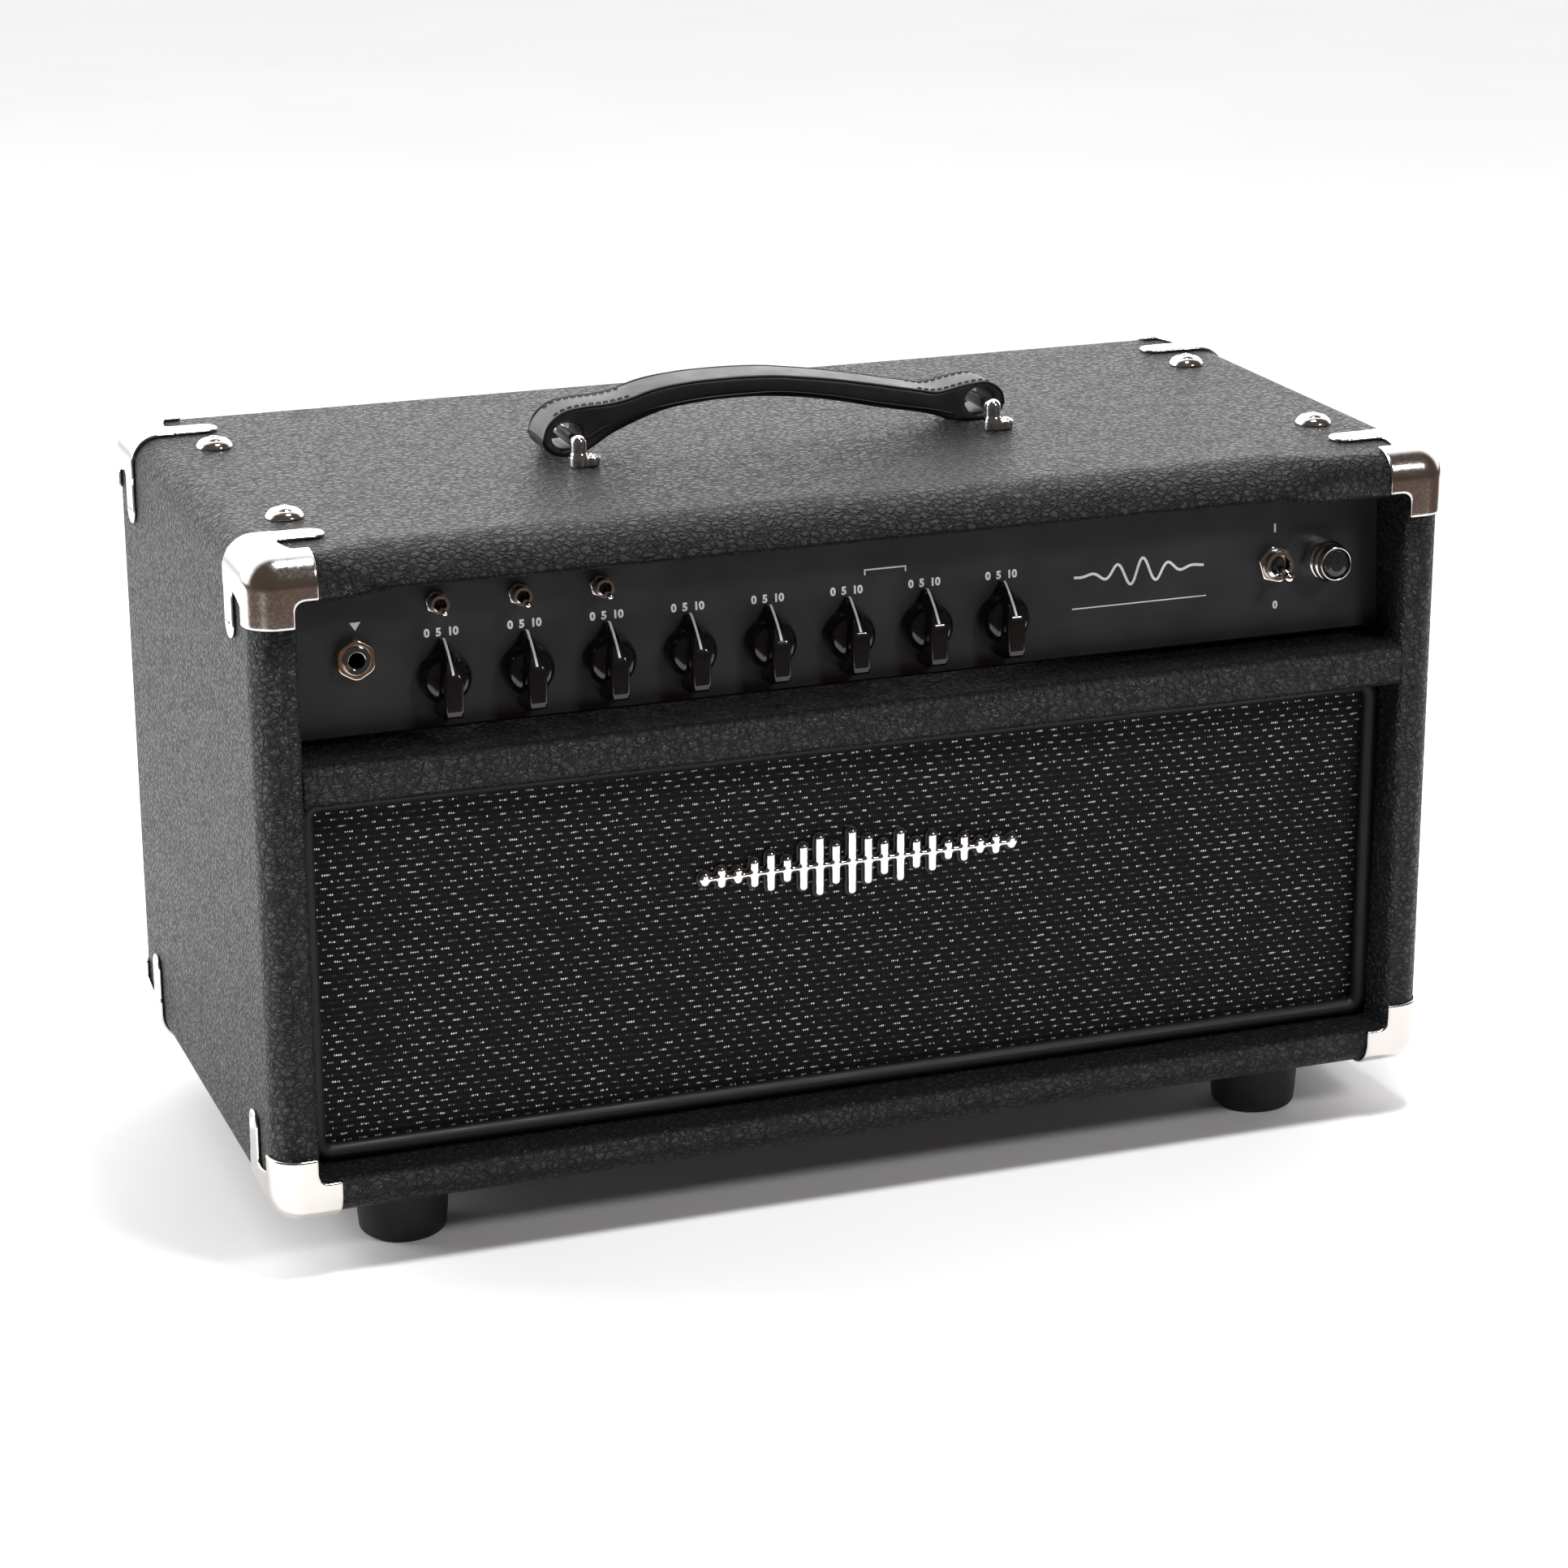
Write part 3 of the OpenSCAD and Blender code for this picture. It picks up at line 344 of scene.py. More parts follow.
def nets(f, lo, hi, h, proj=2):
    """surface of f(x, y, z) = 0 by surface nets, then moved onto the surface"""
    ax = [np.arange(lo[i] - h, hi[i] + 2 * h, h) for i in range(3)]
    X, Y, Z = np.meshgrid(*ax, indexing="ij"); D = f(X, Y, Z).astype(np.float64)
    nx, ny, nz = D.shape
    cs = [(i, j, k) for i in (0, 1) for j in (0, 1) for k in (0, 1)]
    def c(o): return D[o[0]:nx - 1 + o[0], o[1]:ny - 1 + o[1], o[2]:nz - 1 + o[2]]
    inside = sum((c(o) < 0).astype(int) for o in cs); act = (inside > 0) & (inside < 8)
    ii, jj, kk = np.nonzero(act); n = len(ii)
    idx = -np.ones(act.shape, int); idx[ii, jj, kk] = np.arange(n)
    P = np.zeros((n, 3)); C = np.zeros(n)
    for a in range(8):
        for b in range(a + 1, 8):
            oa, ob = cs[a], cs[b]
            if sum(abs(p - q) for p, q in zip(oa, ob)) != 1: continue
            va, vb = D[ii + oa[0], jj + oa[1], kk + oa[2]], D[ii + ob[0], jj + ob[1], kk + ob[2]]
            s = (va < 0) != (vb < 0); t = np.where(s, va / np.where(va == vb, 1, va - vb), 0)
            for d in range(3): P[:, d] += np.where(s, oa[d] + t * (ob[d] - oa[d]), 0)
            C += s
    P /= C[:, None]
    P = np.stack([ax[0][ii], ax[1][jj], ax[2][kk]], 1) + P * h
    e = h * 0.15
    for _ in range(proj):
        d = f(P[:, 0], P[:, 1], P[:, 2])
        g = np.stack([f(P[:, 0] + e * (q == 0), P[:, 1] + e * (q == 1), P[:, 2] + e * (q == 2)) - f(P[:, 0] - e * (q == 0), P[:, 1] - e * (q == 1), P[:, 2] - e * (q == 2)) for q in range(3)], 1) / (2 * e)
        s = d[:, None] * g / np.maximum((g * g).sum(1), 0.25)[:, None]
        ln = np.linalg.norm(s, axis=1, keepdims=True); s *= np.minimum(1, 0.5 * h / np.maximum(ln, 1e-9)); P = P - s
    F = []
    S = D < 0
    for axn in range(3):
        o1, o2 = [q for q in range(3) if q != axn]
        A = S.take(range(0, S.shape[axn] - 1), axn); B = S.take(range(1, S.shape[axn]), axn)
        cr = np.nonzero(A != B); g = [cr[0], cr[1], cr[2]]
        ok = (g[o1] > 0) & (g[o2] > 0) & (g[o1] < D.shape[o1] - 1) & (g[o2] < D.shape[o2] - 1)
        g = [q[ok] for q in g]; up = A[g[0], g[1], g[2]]
        def cell(d1, d2):
            q = [g[0].copy(), g[1].copy(), g[2].copy()]; q[o1] -= d1; q[o2] -= d2
            return idx[q[0], q[1], q[2]]
        quad = np.stack([cell(1, 1), cell(0, 1), cell(0, 0), cell(1, 0)], 1)
        flip = up if axn != 1 else ~up
        quad[~flip] = quad[~flip][:, ::-1]
        F.append(quad[(quad >= 0).all(1)])
    return P, [tuple(q) for q in np.concatenate(F)]

def smax(a, b, k): h = np.maximum(k - np.abs(a - b), 0) / k; return np.maximum(a, b) + h * h * k * 0.25
def smin(a, b, k): return -smax(-a, -b, k)
def sd_box2(x, y, hx, hy, r=0.0):
    qx, qy = np.abs(x) - hx + r, np.abs(y) - hy + r
    return np.hypot(np.maximum(qx, 0), np.maximum(qy, 0)) + np.minimum(np.maximum(qx, qy), 0) - r
def phillips(x, y, z, top, arm=1.9, w=0.45, depth=1.0):
    s = np.minimum(np.maximum(np.abs(x) - arm, np.abs(y) - w), np.maximum(np.abs(y) - arm, np.abs(x) - w))
    return np.maximum(s + (top - z) * 0.55 - 0.1, top - depth - z)

def tube(path, r, n=12, closed=False, cap=True):
    """round tube along points (mm)"""
    P = np.asarray(path, float); m = len(P)
    Tn = np.roll(P, -1, 0) - np.roll(P, 1, 0)
    if not closed: Tn[0] = P[1] - P[0]; Tn[-1] = P[-1] - P[-2]
    Tn /= np.linalg.norm(Tn, axis=1)[:, None]
    ref = np.array([0, 0, 1.0]) if abs(Tn[0][2]) < 0.9 else np.array([0, 1.0, 0])
    u = np.cross(ref, Tn[0]); u /= np.linalg.norm(u)
    V, F = [], []
    for i in range(m):
        u = u - Tn[i] * np.dot(u, Tn[i]); u /= np.linalg.norm(u); v = np.cross(Tn[i], u)
        rr = r[i] if hasattr(r, "__len__") else r
        for k in range(n):
            a = 2 * math.pi * k / n; V.append(P[i] + rr * (math.cos(a) * u + math.sin(a) * v))
    for i in range(m if closed else m - 1):
        j = (i + 1) % m
        for k in range(n):
            l = (k + 1) % n; F.append((i * n + k, i * n + l, j * n + l, j * n + k))
    if not closed and cap:
        F.append(tuple(range(n))[::-1]); F.append(tuple((m - 1) * n + k for k in range(n)))
    return np.array(V), F

def refine(node, mat, bevel=0.35, segs=2, name=None, angle=0.5):
    """the CAD shape with its faces cleaned and its edges softened; stands for the CAD node"""
    src = frame["nodes"][node]; me = src.data.copy(); me.materials.clear()
    bm = bmesh.new(); bm.from_mesh(me)
    bmesh.ops.remove_doubles(bm, verts=bm.verts, dist=1e-6)
    bmesh.ops.dissolve_limit(bm, angle_limit=math.radians(1.0), verts=bm.verts, edges=bm.edges)
    bm.to_mesh(me); bm.free(); me.name = name or ("v_" + node)
    o = bpy.data.objects.new(me.name, me); bpy.context.scene.collection.objects.link(o)
    if bevel > 0:
        md = o.modifiers.new("b", "BEVEL"); md.width = bevel * MM; md.segments = segs; md.limit_method = "ANGLE"; md.angle_limit = angle
        md.use_clamp_overlap = True; md.harden_normals = False
        dg = bpy.context.evaluated_depsgraph_get(); me2 = bpy.data.meshes.new_from_object(o.evaluated_get(dg)); o.modifiers.clear(); o.data = me2
    for p in o.data.polygons: p.use_smooth = not (len(p.vertices) > 4 or p.area > 6e-5)
    try: o.data.set_sharp_from_angle(angle=math.radians(38))
    except Exception: pass
    for p in o.data.polygons:
        if len(p.vertices) > 4 or p.area > 6e-5: p.use_smooth = False
    o.data.materials.clear(); o.data.materials.append(mat)
    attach(o, src["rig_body"])
    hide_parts(node)
    return o

# ------------------------------------------------------------------ camera, floor, light
def camera():
    az, el, roll, dist, f = math.radians(-19.98651), math.radians(18.21443), math.radians(-0.23605), 1.75125, 5029.67
    back = Vector((math.sin(az) * math.cos(el), -math.cos(az) * math.cos(el), math.sin(el)))
    x = Vector((0, 0, 1)).cross(back).normalized(); y = back.cross(x)
    X = x * math.cos(roll) + y * math.sin(roll); Y = -x * math.sin(roll) + y * math.cos(roll)
    pos = Vector((0.006059, 0, 0.113599 + Z0 * MM)) + back * dist
    cam = bpy.data.cameras.new("camera"); cam.lens = 36 * f / 1932; cam.sensor_width = 36; cam.clip_end = 60
    o = bpy.data.objects.new("camera", cam); bpy.context.scene.collection.objects.link(o)
    o.matrix_world = Matrix(((X.x, Y.x, back.x, pos.x), (X.y, Y.y, back.y, pos.y), (X.z, Y.z, back.z, pos.z), (0, 0, 0, 1)))
    bpy.context.scene.camera = o
camera()

BACK = 2.6
def stage():
    me = bpy.data.meshes.new("floor"); s = 14.0
    me.from_pydata([(-s, -s, 0), (s, -s, 0), (s, s, 0), (-s, s, 0)], [], [(0, 1, 2, 3)])
    m = Nt("floor_pale"); sep = m.n("ShaderNodeSeparateXYZ"); m.l(m.obj(), sep.inputs[0])
    near = m.map(sep.outputs[1], -0.86, -0.60, 0.0, 1.0)          # the pale sweep ends in front and at the sides; beyond it the floor colour is dark brown, painted shade standing in for the unlit room
    reach = m.math("MULTIPLY", m.math("MAXIMUM", m.math("ADD", sep.outputs[1], 0.1), 0.0), 0.9)
    side = m.math("SUBTRACT", m.math("ABSOLUTE", sep.outputs[0]), reach)
    near = m.math("MULTIPLY", near, m.map(side, 0.78, 1.0, 1.0, 0.0))
    pale = m.ramp(m.noise(3, 3), [(0.3, (0.87, 0.87, 0.87)), (0.7, (0.9, 0.9, 0.9))])
    # dark brown floor colour beyond the sweep: painted shade for the unlit room
    mix = m.n("ShaderNodeMix", data_type="RGBA"); m.l(near, mix.inputs[0]); mix.inputs[6].default_value = (0.06, 0.038, 0.027, 1); m.l(pale, mix.inputs[7])
    m.set(Base_Color=mix.outputs[2], Roughness=0.75, Specular_IOR_Level=0.15)
    me.materials.append(m.m)
    o = bpy.data.objects.new("floor", me); bpy.context.scene.collection.objects.link(o)
    w = bpy.data.worlds.new("studio"); bpy.context.scene.world = w; w.use_nodes = True
    t = w.node_tree; t.nodes.clear()
    out = t.nodes.new("ShaderNodeOutputWorld"); bg = t.nodes.new("ShaderNodeBackground"); tc = t.nodes.new("ShaderNodeTexCoord")
    sep = t.nodes.new("ShaderNodeSeparateXYZ"); t.links.new(tc.outputs["Generated"], sep.inputs[0])
    # bright cyclorama behind and above, dark warm room towards the front
    a = t.nodes.new("ShaderNodeMapRange"); a.inputs[1].default_value = -0.02; a.inputs[2].default_value = 0.58; a.interpolation_type = "SMOOTHSTEP"
    t.links.new(sep.outputs[1], a.inputs[0])
    mx = t.nodes.new("ShaderNodeMix"); mx.data_type = "RGBA"; t.links.new(a.outputs[0], mx.inputs[0])
    mx.inputs[6].default_value = (0.082, 0.063, 0.053, 1); mx.inputs[7].default_value = (BACK, BACK, BACK * 1.015, 1)
    t.links.new(mx.outputs[2], bg.inputs["Color"]); bg.inputs["Strength"].default_value = 1.0
    t.links.new(bg.outputs[0], out.inputs[0])
    sc = bpy.context.scene; sc.view_settings.view_transform = "Standard"; sc.view_settings.look = "None"
    def area(name, loc, target, size, power, col=(1, 1, 1), sy=None):
        l = bpy.data.lights.new(name, "AREA"); l.shape = "RECTANGLE"; l.size = size; l.size_y = sy or size; l.energy = power; l.color = col
        o = bpy.data.objects.new(name, l); bpy.context.scene.collection.objects.link(o); o.location = loc
        o.rotation_euler = (Vector(target) - Vector(loc)).to_track_quat("-Z", "Y").to_euler()
    area("top_soft", (0.15, -0.35, 1.7), (0, 0, 0.15), 0.36, 24, sy=0.28)
    area("key_front_right", (1.0, -1.7, 1.6), (0, 0, 0.15), 0.4, 17)
    area("left_soft", (-1.6, 0.9, 0.8), (-0.3, 0.2, 0.1), 0.9, 30)
stage()

# ------------------------------------------------------------------ cabinet covering
def sstep(a, b, x):
    t = np.clip((np.asarray(x, float) - a) / (b - a), 0, 1); return t * t * (3 - 2 * t)

def arc(cx, cy, r, a0, a1, n):
    return [(cx + r * math.cos(math.radians(a0 + (a1 - a0) * i / n)), cy + r * math.sin(math.radians(a0 + (a1 - a0) * i / n))) for i in range(n + 1)]

def cabinet_covering():
    r = 11.0; L = 2 * HD
    # profile: (y from the front plane, depth d from the outer face), going front to rear along the inside and back over the outside
    def prof(kind):
        if kind == "A":
            P = arc(r, r, r, 270, 180, 14)                       # outer front edge
            P += [(0, r + 0.6), (0, (r + T - 1.8) / 2), (0, T - 2.2)]
            P += arc(1.8, T - 1.8, 1.8, 180, 90, 7)              # inner front edge
            P += [(4, T), (9, T), (16, T)]
        else:
            R = 26.5; a1 = 180 + math.degrees(math.acos(23 / R))
            P = arc(23, R, R, 270, a1, 14)
            P += [(0.02, 12.9), (0.12, 13.2), (0.35, 13.6)]
            P += [(0.7, 14.05), (1.2, 14.5), (1.8, 14.85), (2.6, 15.15), (3.6, 15.45), (4.8, 15.8), (6.2, 16.25), (7.8, 16.75), (9.8, 17.2)]
            P += [(12.5, 17.45), (17, T)]
        P += [(L * f, T) for f in (0.12, 0.3, 0.5, 0.7, 0.88)] + [(L - 8, T)]
        P += arc(L - 3.2, T - 3.2, 3.2, 90, 0, 8)
        P += [(L, T - 3.8), (L, (r + T - 3.2) / 2), (L, r + 0.6)]
        P += arc(L - r, r, r, 0, -90, 14)
        P += [(L - r - 1, 0), (L - r - 8, 0), (L * 0.75, 0), (L * 0.5, 0), (L * 0.25, 0), (34, 0), (26, 0)]
        return np.array(P)
    A, B = prof("A"), prof("B")
    # perimeter stations
    st = []
    xs = [-HW + r, -HW + r + 1, -232] + list(np.linspace(-226, -190, 19)) + list(np.linspace(-180, 165, 24)) + list(np.linspace(170, 204, 18)) + [215, 228, HW - r - 1, HW - r]
    for x in xs: st.append(((x, Z1), (0, -1), None, None, 1 - 1 + float(sstep(-224, -194, x) * (1 - sstep(172, 201, x)))))
    def corner(cx, cz, ix, iz, a0, a1):
        for i in range(1, 12):
            a = math.radians(a0 + (a1 - a0) * i / 12)
            st.append(((cx + r * math.cos(a), cz + r * math.sin(a)), (-math.cos(a), -math.sin(a)), (cx, cz), (ix, iz), 0.0))
    corner(HW - r, Z1 - r, IW, ZIN1, 90, 0)
    for z in [Z1 - r, Z1 - r - 1] + list(np.linspace(Z1 - 22, Z0 + 22, 14)) + [Z0 + r + 1, Z0 + r]: st.append(((HW, z), (-1, 0), None, None, 0.0))
    corner(HW - r, Z0 + r, IW, ZIN0, 0, -90)
    for x in [HW - r, HW - r - 1] + list(np.linspace(HW - 22, -HW + 22, 24)) + [-HW + r + 1, -HW + r]: st.append(((x, Z0), (0, 1), None, None, 0.0))
    corner(-HW + r, Z0 + r, -IW, ZIN0, -90, -180)
    for z in [Z0 + r, Z0 + r + 1] + list(np.linspace(Z0 + 22, Z1 - 22, 14)) + [Z1 - r - 1, Z1 - r]: st.append(((-HW, z), (1, 0), None, None, 0.0))
    corner(-HW + r, Z1 - r, -IW, ZIN1, 180, 90)
    V, m, n = [], len(st), len(A)
    # straight runs: inner points are clamped so that the inside meets in a square corner
    for (px, pz), (nx, nz), C, Pi, w in st:
        Q = A * (1 - w) + B * w
        for y, d in Q:
            if C is None:
                x, z = px + nx * d, pz + nz * d
                if nz == 1: z = pz + (d if d <= r else r + (d - r) * ((ZIN0 - Z0 - r) / (T - r)))
                # squeeze the run so that its inner side is shorter than its outer side
                if nx == 0:
                    k = 1 if d <= r else 1 - (d - r) / (T - r) * (1 - IW / (HW - r)); x = px * k
                else:
                    zc = (Z0 + Z1) / 2; up = pz > zc; lim = (ZIN1 if up else ZIN0) - zc; full = (Z1 - r - zc)
                    if d > r:
                        k = (d - r) / (T - r); z = zc + (pz - zc) * (1 - k + k * abs(lim) / full)
            else:
                if d <= r: x, z = px + nx * d, pz + nz * d
                else:
                    k = (d - r) / (T - r); x, z = C[0] + (Pi[0] - C[0]) * k, C[1] + (Pi[1] - C[1]) * k
            V.append((x, -HD + y, z))
    F = [(i * n + j, i * n + (j + 1) % n, ((i + 1) % m) * n + (j + 1) % n, ((i + 1) % m) * n + j) for i in range(m) for j in range(n)]
    o = build("cabinet_covering", V, F, M["tolex"], replaces=("cabinet_top", "cabinet_bottom", "cabinet_left", "cabinet_right"))
    bm = bmesh.new(); bm.from_mesh(o.data)
    bmesh.ops.remove_doubles(bm, verts=bm.verts, dist=2e-5)
    bmesh.ops.dissolve_degenerate(bm, edges=bm.edges, dist=1e-6)
    bmesh.ops.recalc_face_normals(bm, faces=bm.faces); bm.to_mesh(o.data); bm.free()
    o.data.polygons.foreach_set("use_smooth", [True] * len(o.data.polygons))
    return o
cabinet_covering()

def extrude_x(prof, x0, x1, nseg=40):
    P = np.array(prof); n = len(P); xs = np.linspace(x0, x1, nseg + 1); V, F = [], []
    for x in xs:
        for y, z in P: V.append((x, y, z))
    for i in range(nseg):
        for j in range(n): F.append((i * n + j, i * n + (j + 1) % n, (i + 1) * n + (j + 1) % n, (i + 1) * n + j))
    F.append(tuple(range(n))); F.append(tuple(nseg * n + k for k in range(n))[::-1])
    return V, F

def front_rail():
    y0, y1, z0, z1 = rlo[1], rhi[1], rlo[2], rhi[2]; R = 2.0
    P = arc(y0 + R, z1 - R, R, 90, 180, 7) + [(y0, z1 - R - 1), (y0, (z0 + z1) / 2), (y0, z0 + R + 1)] + arc(y0 + R, z0 + R, R, 180, 270, 7)
    P += [(y0 + R + 1, z0), (y0 + 14, z0), (y1 - 2, z0)] + arc(y1 - 1.5, z0 + 1.5, 1.5, 270, 360, 3) + arc(y1 - 1.5, z1 - 1.5, 1.5, 0, 90, 3) + [(y0 + 14, z1), (y0 + R + 1, z1)]
    V, F = extrude_x(P, -IW + 0.02, IW - 0.02, 60)
    build("front_rail_covered", V, F, M["tolex"], replaces=("front_rail",))
front_rail()

# ------------------------------------------------------------------ grille
CY = float(clo[1])   # front of the cloth
def grille():
    nx, nz = 130, 44; x0, x1, z0, z1 = clo[0], chi[0], clo[2], chi[2]; V = []
    for j in range(nz + 1):
        for i in range(nx + 1):
            x = x0 + (x1 - x0) * i / nx; z = z0 + (z1 - z0) * j / nz
            e = min(x - x0, x1 - x, z - z0, z1 - z)
            V.append((x, CY + 0.35 * math.exp(-e / 3.5) + 0.10 * math.sin(x * 0.045) * math.sin(z * 0.07), z))
    F = [(j * (nx + 1) + i, j * (nx + 1) + i + 1, (j + 1) * (nx + 1) + i + 1, (j + 1) * (nx + 1) + i) for j in range(nz) for i in range(nx)]
    o = build("grille_cloth_sheet", V, F, M["cloth"], replaces=("grille_cloth",), recalc=False)
    # piping: a round bead with a flat flange behind it
    z0, z1 = ZIN0, rlo[2]; r = 3.5; cr = 5.5; ins = 3.6
    path = []
    for cx, cz, a0 in ((IW - ins - cr, z1 - ins - cr, 0), (-IW + ins + cr, z1 - ins - cr, 90), (-IW + ins + cr, z0 + ins + cr, 180), (IW - ins - cr, z0 + ins + cr, 270)):
        for i in range(9):
            a = math.radians(a0 + 90 * i / 8); path.append((cx + cr * math.cos(a), CY - 3.2, cz + cr * math.sin(a)))
    full = []
    for i, p in enumerate(path):
        q = path[(i + 1) % len(path)]; d = math.dist(p, q); k = max(1, int(d / 14))
        for t in range(k): full.append(tuple(np.array(p) + (np.array(q) - np.array(p)) * t / k))
    parts = [tube(full, r, 16, closed=True)]
    w = 1.2
    def strip(a, b, c, d):
        lo = np.array(a); hi = np.array(b)
        V = [(lo[0], CY - 1.0, lo[1]), (hi[0], CY - 1.0, lo[1]), (hi[0], CY - 1.0, hi[1]), (lo[0], CY - 1.0, hi[1]), (lo[0], CY, lo[1]), (hi[0], CY, lo[1]), (hi[0], CY, hi[1]), (lo[0], CY, hi[1])]
        return np.array(V), [(0, 1, 2, 3), (4, 7, 6, 5), (0, 4, 5, 1), (1, 5, 6, 2), (2, 6, 7, 3), (3, 7, 4, 0)]
    parts += [strip((-IW, z0), (IW, z0 + 4), 0, 0), strip((-IW, z1 - 4), (IW, z1), 0, 0), strip((-IW, z0 + 4), (-IW + 4, z1 - 4), 0, 0), strip((IW - 4, z0 + 4), (IW, z1 - 4), 0, 0)]
    V, F = join(parts)
    build("grille_piping_bead", V, F, M["vinyl"], replaces=("grille_piping",))
grille()

def wave_points(L, amp, periods, n=420, sig=0.27):
    t = np.linspace(-0.5, 0.5, n); e = np.exp(-(t / sig) ** 2)
    return np.stack([t * L, amp * e * np.sin(2 * math.pi * periods * t + 0.6)], 1)

def emblem():
    elo, ehi = nbox("grille_emblem"); cx, cz = (elo[0] + ehi[0]) / 2, (elo[2] + ehi[2]) / 2
    bars = [6, 9, 7, 12, 17, 11, 20, 26, 18, 28, 21, 15, 22, 13, 17, 9, 12, 7, 9, 6]
    def plan(x, y, grow=0.0):
        d = sd_box2(x, y, 69.0, 1.2, 1.1)
        k = np.clip(np.round((x + 66.5) / 7.0), 0, 19).astype(int); bh = np.array(bars)[k] / 2.0; bx = x + 66.5 - k * 7.0
        ax, ay = np.abs(bx) - 1.8 + 1.6, np.abs(y) - bh + 1.6
        return smin(d, np.hypot(np.maximum(ax, 0), np.maximum(ay, 0)) + np.minimum(np.maximum(ax, ay), 0) - 1.6, 1.4) - grow
    f1 = lambda x, y, z: smax(plan(x, y), np.abs(z - 2.3) - 1.1, 1.5)
    V, F = nets(f1, (-69.6, -14.4, 1.0), (69.6, 14.4, 3.6), 0.42, 2)
    Mx = mat_z((cx, CY, cz), (1, 0, 0), (0, 0, 1), (0, -1, 0))
    build("emblem_wave", xf(Mx, V), F, M["chrome_b"], replaces=("grille_emblem",))
    f2 = lambda x, y, z: smax(plan(x, y, 0.9), np.abs(z - 0.7) - 0.6, 0.5)
    V, F = nets(f2, (-70.5, -15.4, -0.1), (70.5, 15.4, 1.6), 0.6, 1)
    build("emblem_backing", xf(Mx, V), F, M["black"])
emblem()

# ------------------------------------------------------------------ corner protectors and screws
def corner_parts():
    r, th = 11.0, 1.5
    def f(a, b, c):
        q = [r - a, r - b, r - c]
        d = np.sqrt(sum(np.maximum(v, 0) ** 2 for v in q)) + np.minimum(np.maximum(np.maximum(q[0], q[1]), q[2]), 0) - r
        shell = np.abs(d - th / 2) - th / 2
        def face(u, v, deep):        # u across (towards the other end), v back from the front edge
            lim = 16.5 + 9.5 * np.clip(1 - np.maximum(v, 0) / 27.0, 0, 1) ** 2.0
            body = np.maximum(u - lim, v - 39.5)
            leg = sd_box2(u - 12, v - 33.2, 25, 6.3, 6.2)
            return np.maximum(smin(body, leg, 3.0), deep - 12)
        L1 = np.maximum(a - 26.0, c - 16.0); L2 = np.maximum(a - 16.6, c - 26.5)
        front = np.maximum(smin(L1, L2, 5.0), b - 12)
        mask = np.minimum(np.minimum(face(a, b, c), face(c, b, a)), front)
        return smax(shell, mask, 0.7)
    V, F = nets(f, (-1.8, -1.8, -1.8), (38.5, 41, 40.5), 0.6, 2)
    parts_t, parts_b, scr = [], [], []
    # screw head
    def fs(x, y, z):
        rr = np.hypot(x, y); dome = np.sqrt(rr * rr + (z + 3.6) ** 2) - 5.1
        return np.maximum(smax(smax(dome, -z, 0.3), rr - 3.1, 0.3), -phillips(x, y, z, 1.5, 1.75, 0.42, 1.0))
    SV, SF = nets(fs, (-3.3, -3.3, -0.1), (3.3, 3.3, 1.7), 0.16, 1)
    for sx in (1, -1):
        for sy in (-1, 1):
            for sz in (1, -1):
                px = (HW - V[:, 0]) * sx; py = (HD - V[:, 1]) * sy; pz = Z1 - V[:, 2] if sz == 1 else Z0 + V[:, 2]
                (parts_t if sz == 1 else parts_b).append((np.stack([px, py, pz], 1), F))
                zt = Z1 if sz == 1 else Z0
                p = ((HW - 28.5) * sx, (HD - 33.2) * sy, zt + sz * (th - 0.62)); scr.append((xf(mat_z(p, z=(0, 0, sz)), SV), SF))
                p = (HW * sx + sx * (th - 0.62), (HD - 33.2) * sy, zt - sz * 31.0); scr.append((xf(mat_z(p, x=(0, 1, 0), y=(0, 0, 1), z=(sx, 0, 0)), SV), SF))
    v, q = join(parts_t); o = build("corner_protectors_top", v, q, M["guard"], replaces=("corner_protectors",))
    v, q = join(parts_b); build("corner_protectors_bottom", v, q, M["guard"])
    v, q = join(scr); build("corner_screw_heads", v, q, M["chrome"], replaces=("corner_screws",))
corner_parts()

def chassis_screw_parts():
    slo, shi = nbox("chassis_cup_washers"); X, Y = shi[0] - 7.6, shi[1] - 7.6
    W = lathe(rounded([(2.7, 0.3), (7.7, 0.0), (7.6, 0.9), (6.6, 2.3), (5.3, 3.3), (4.6, 3.2), (2.8, 1.6), (2.7, 0.3)], 0.5, 3), 48)
    def fs(x, y, z):
        rr = np.hypot(x, y); dome = np.sqrt(rr * rr + (z + 3.2) ** 2) - 5.5; under = rr * 0.75 - (z + 2.7)
        return np.maximum(smax(smax(dome, under, 0.3), rr - 4.4, 0.4), -phillips(x, y, z, 2.3, 2.5, 0.55, 1.6))
    SV, SF = nets(fs, (-4.6, -4.6, -2.5), (4.6, 4.6, 2.5), 0.22, 1)
    w, s = [], []
    for i, (sx, sy) in enumerate(((1, 1), (1, -1), (-1, 1), (-1, -1))):
        w.append((W[0] + np.array((sx * X, sy * Y, Z1)), W[1]))
        a = 0.5 + i * 0.9; R = Matrix.Rotation(a, 4, "Z"); R.translation = (sx * X, sy * Y, Z1 + 2.5)
        s.append((xf(R, SV), SF))
        sh = lathe(rounded([(0, ZIN1 - 10 - Z1), (2.4, ZIN1 - 10 - Z1), (2.4, 0.6), (0, 0.6)], 0.3), 20); s.append((sh[0] + np.array((sx * X, sy * Y, Z1)), sh[1]))
        nut = lathe(rounded([(2.4, 0), (4.5, 0), (4.5, 4), (2.4, 4), (2.4, 0)], 0.3), 6); s.append((nut[0] + np.array((sx * X, sy * Y, ZIN1 - 6)), nut[1]))
    v, q = join(w); build("chassis_cup_washer_set", v, q, M["chrome"], replaces=("chassis_cup_washers",))
    v, q = join(s); build("chassis_screw_set", v, q, M["chrome"], replaces=("chassis_screws",))
chassis_screw_parts()

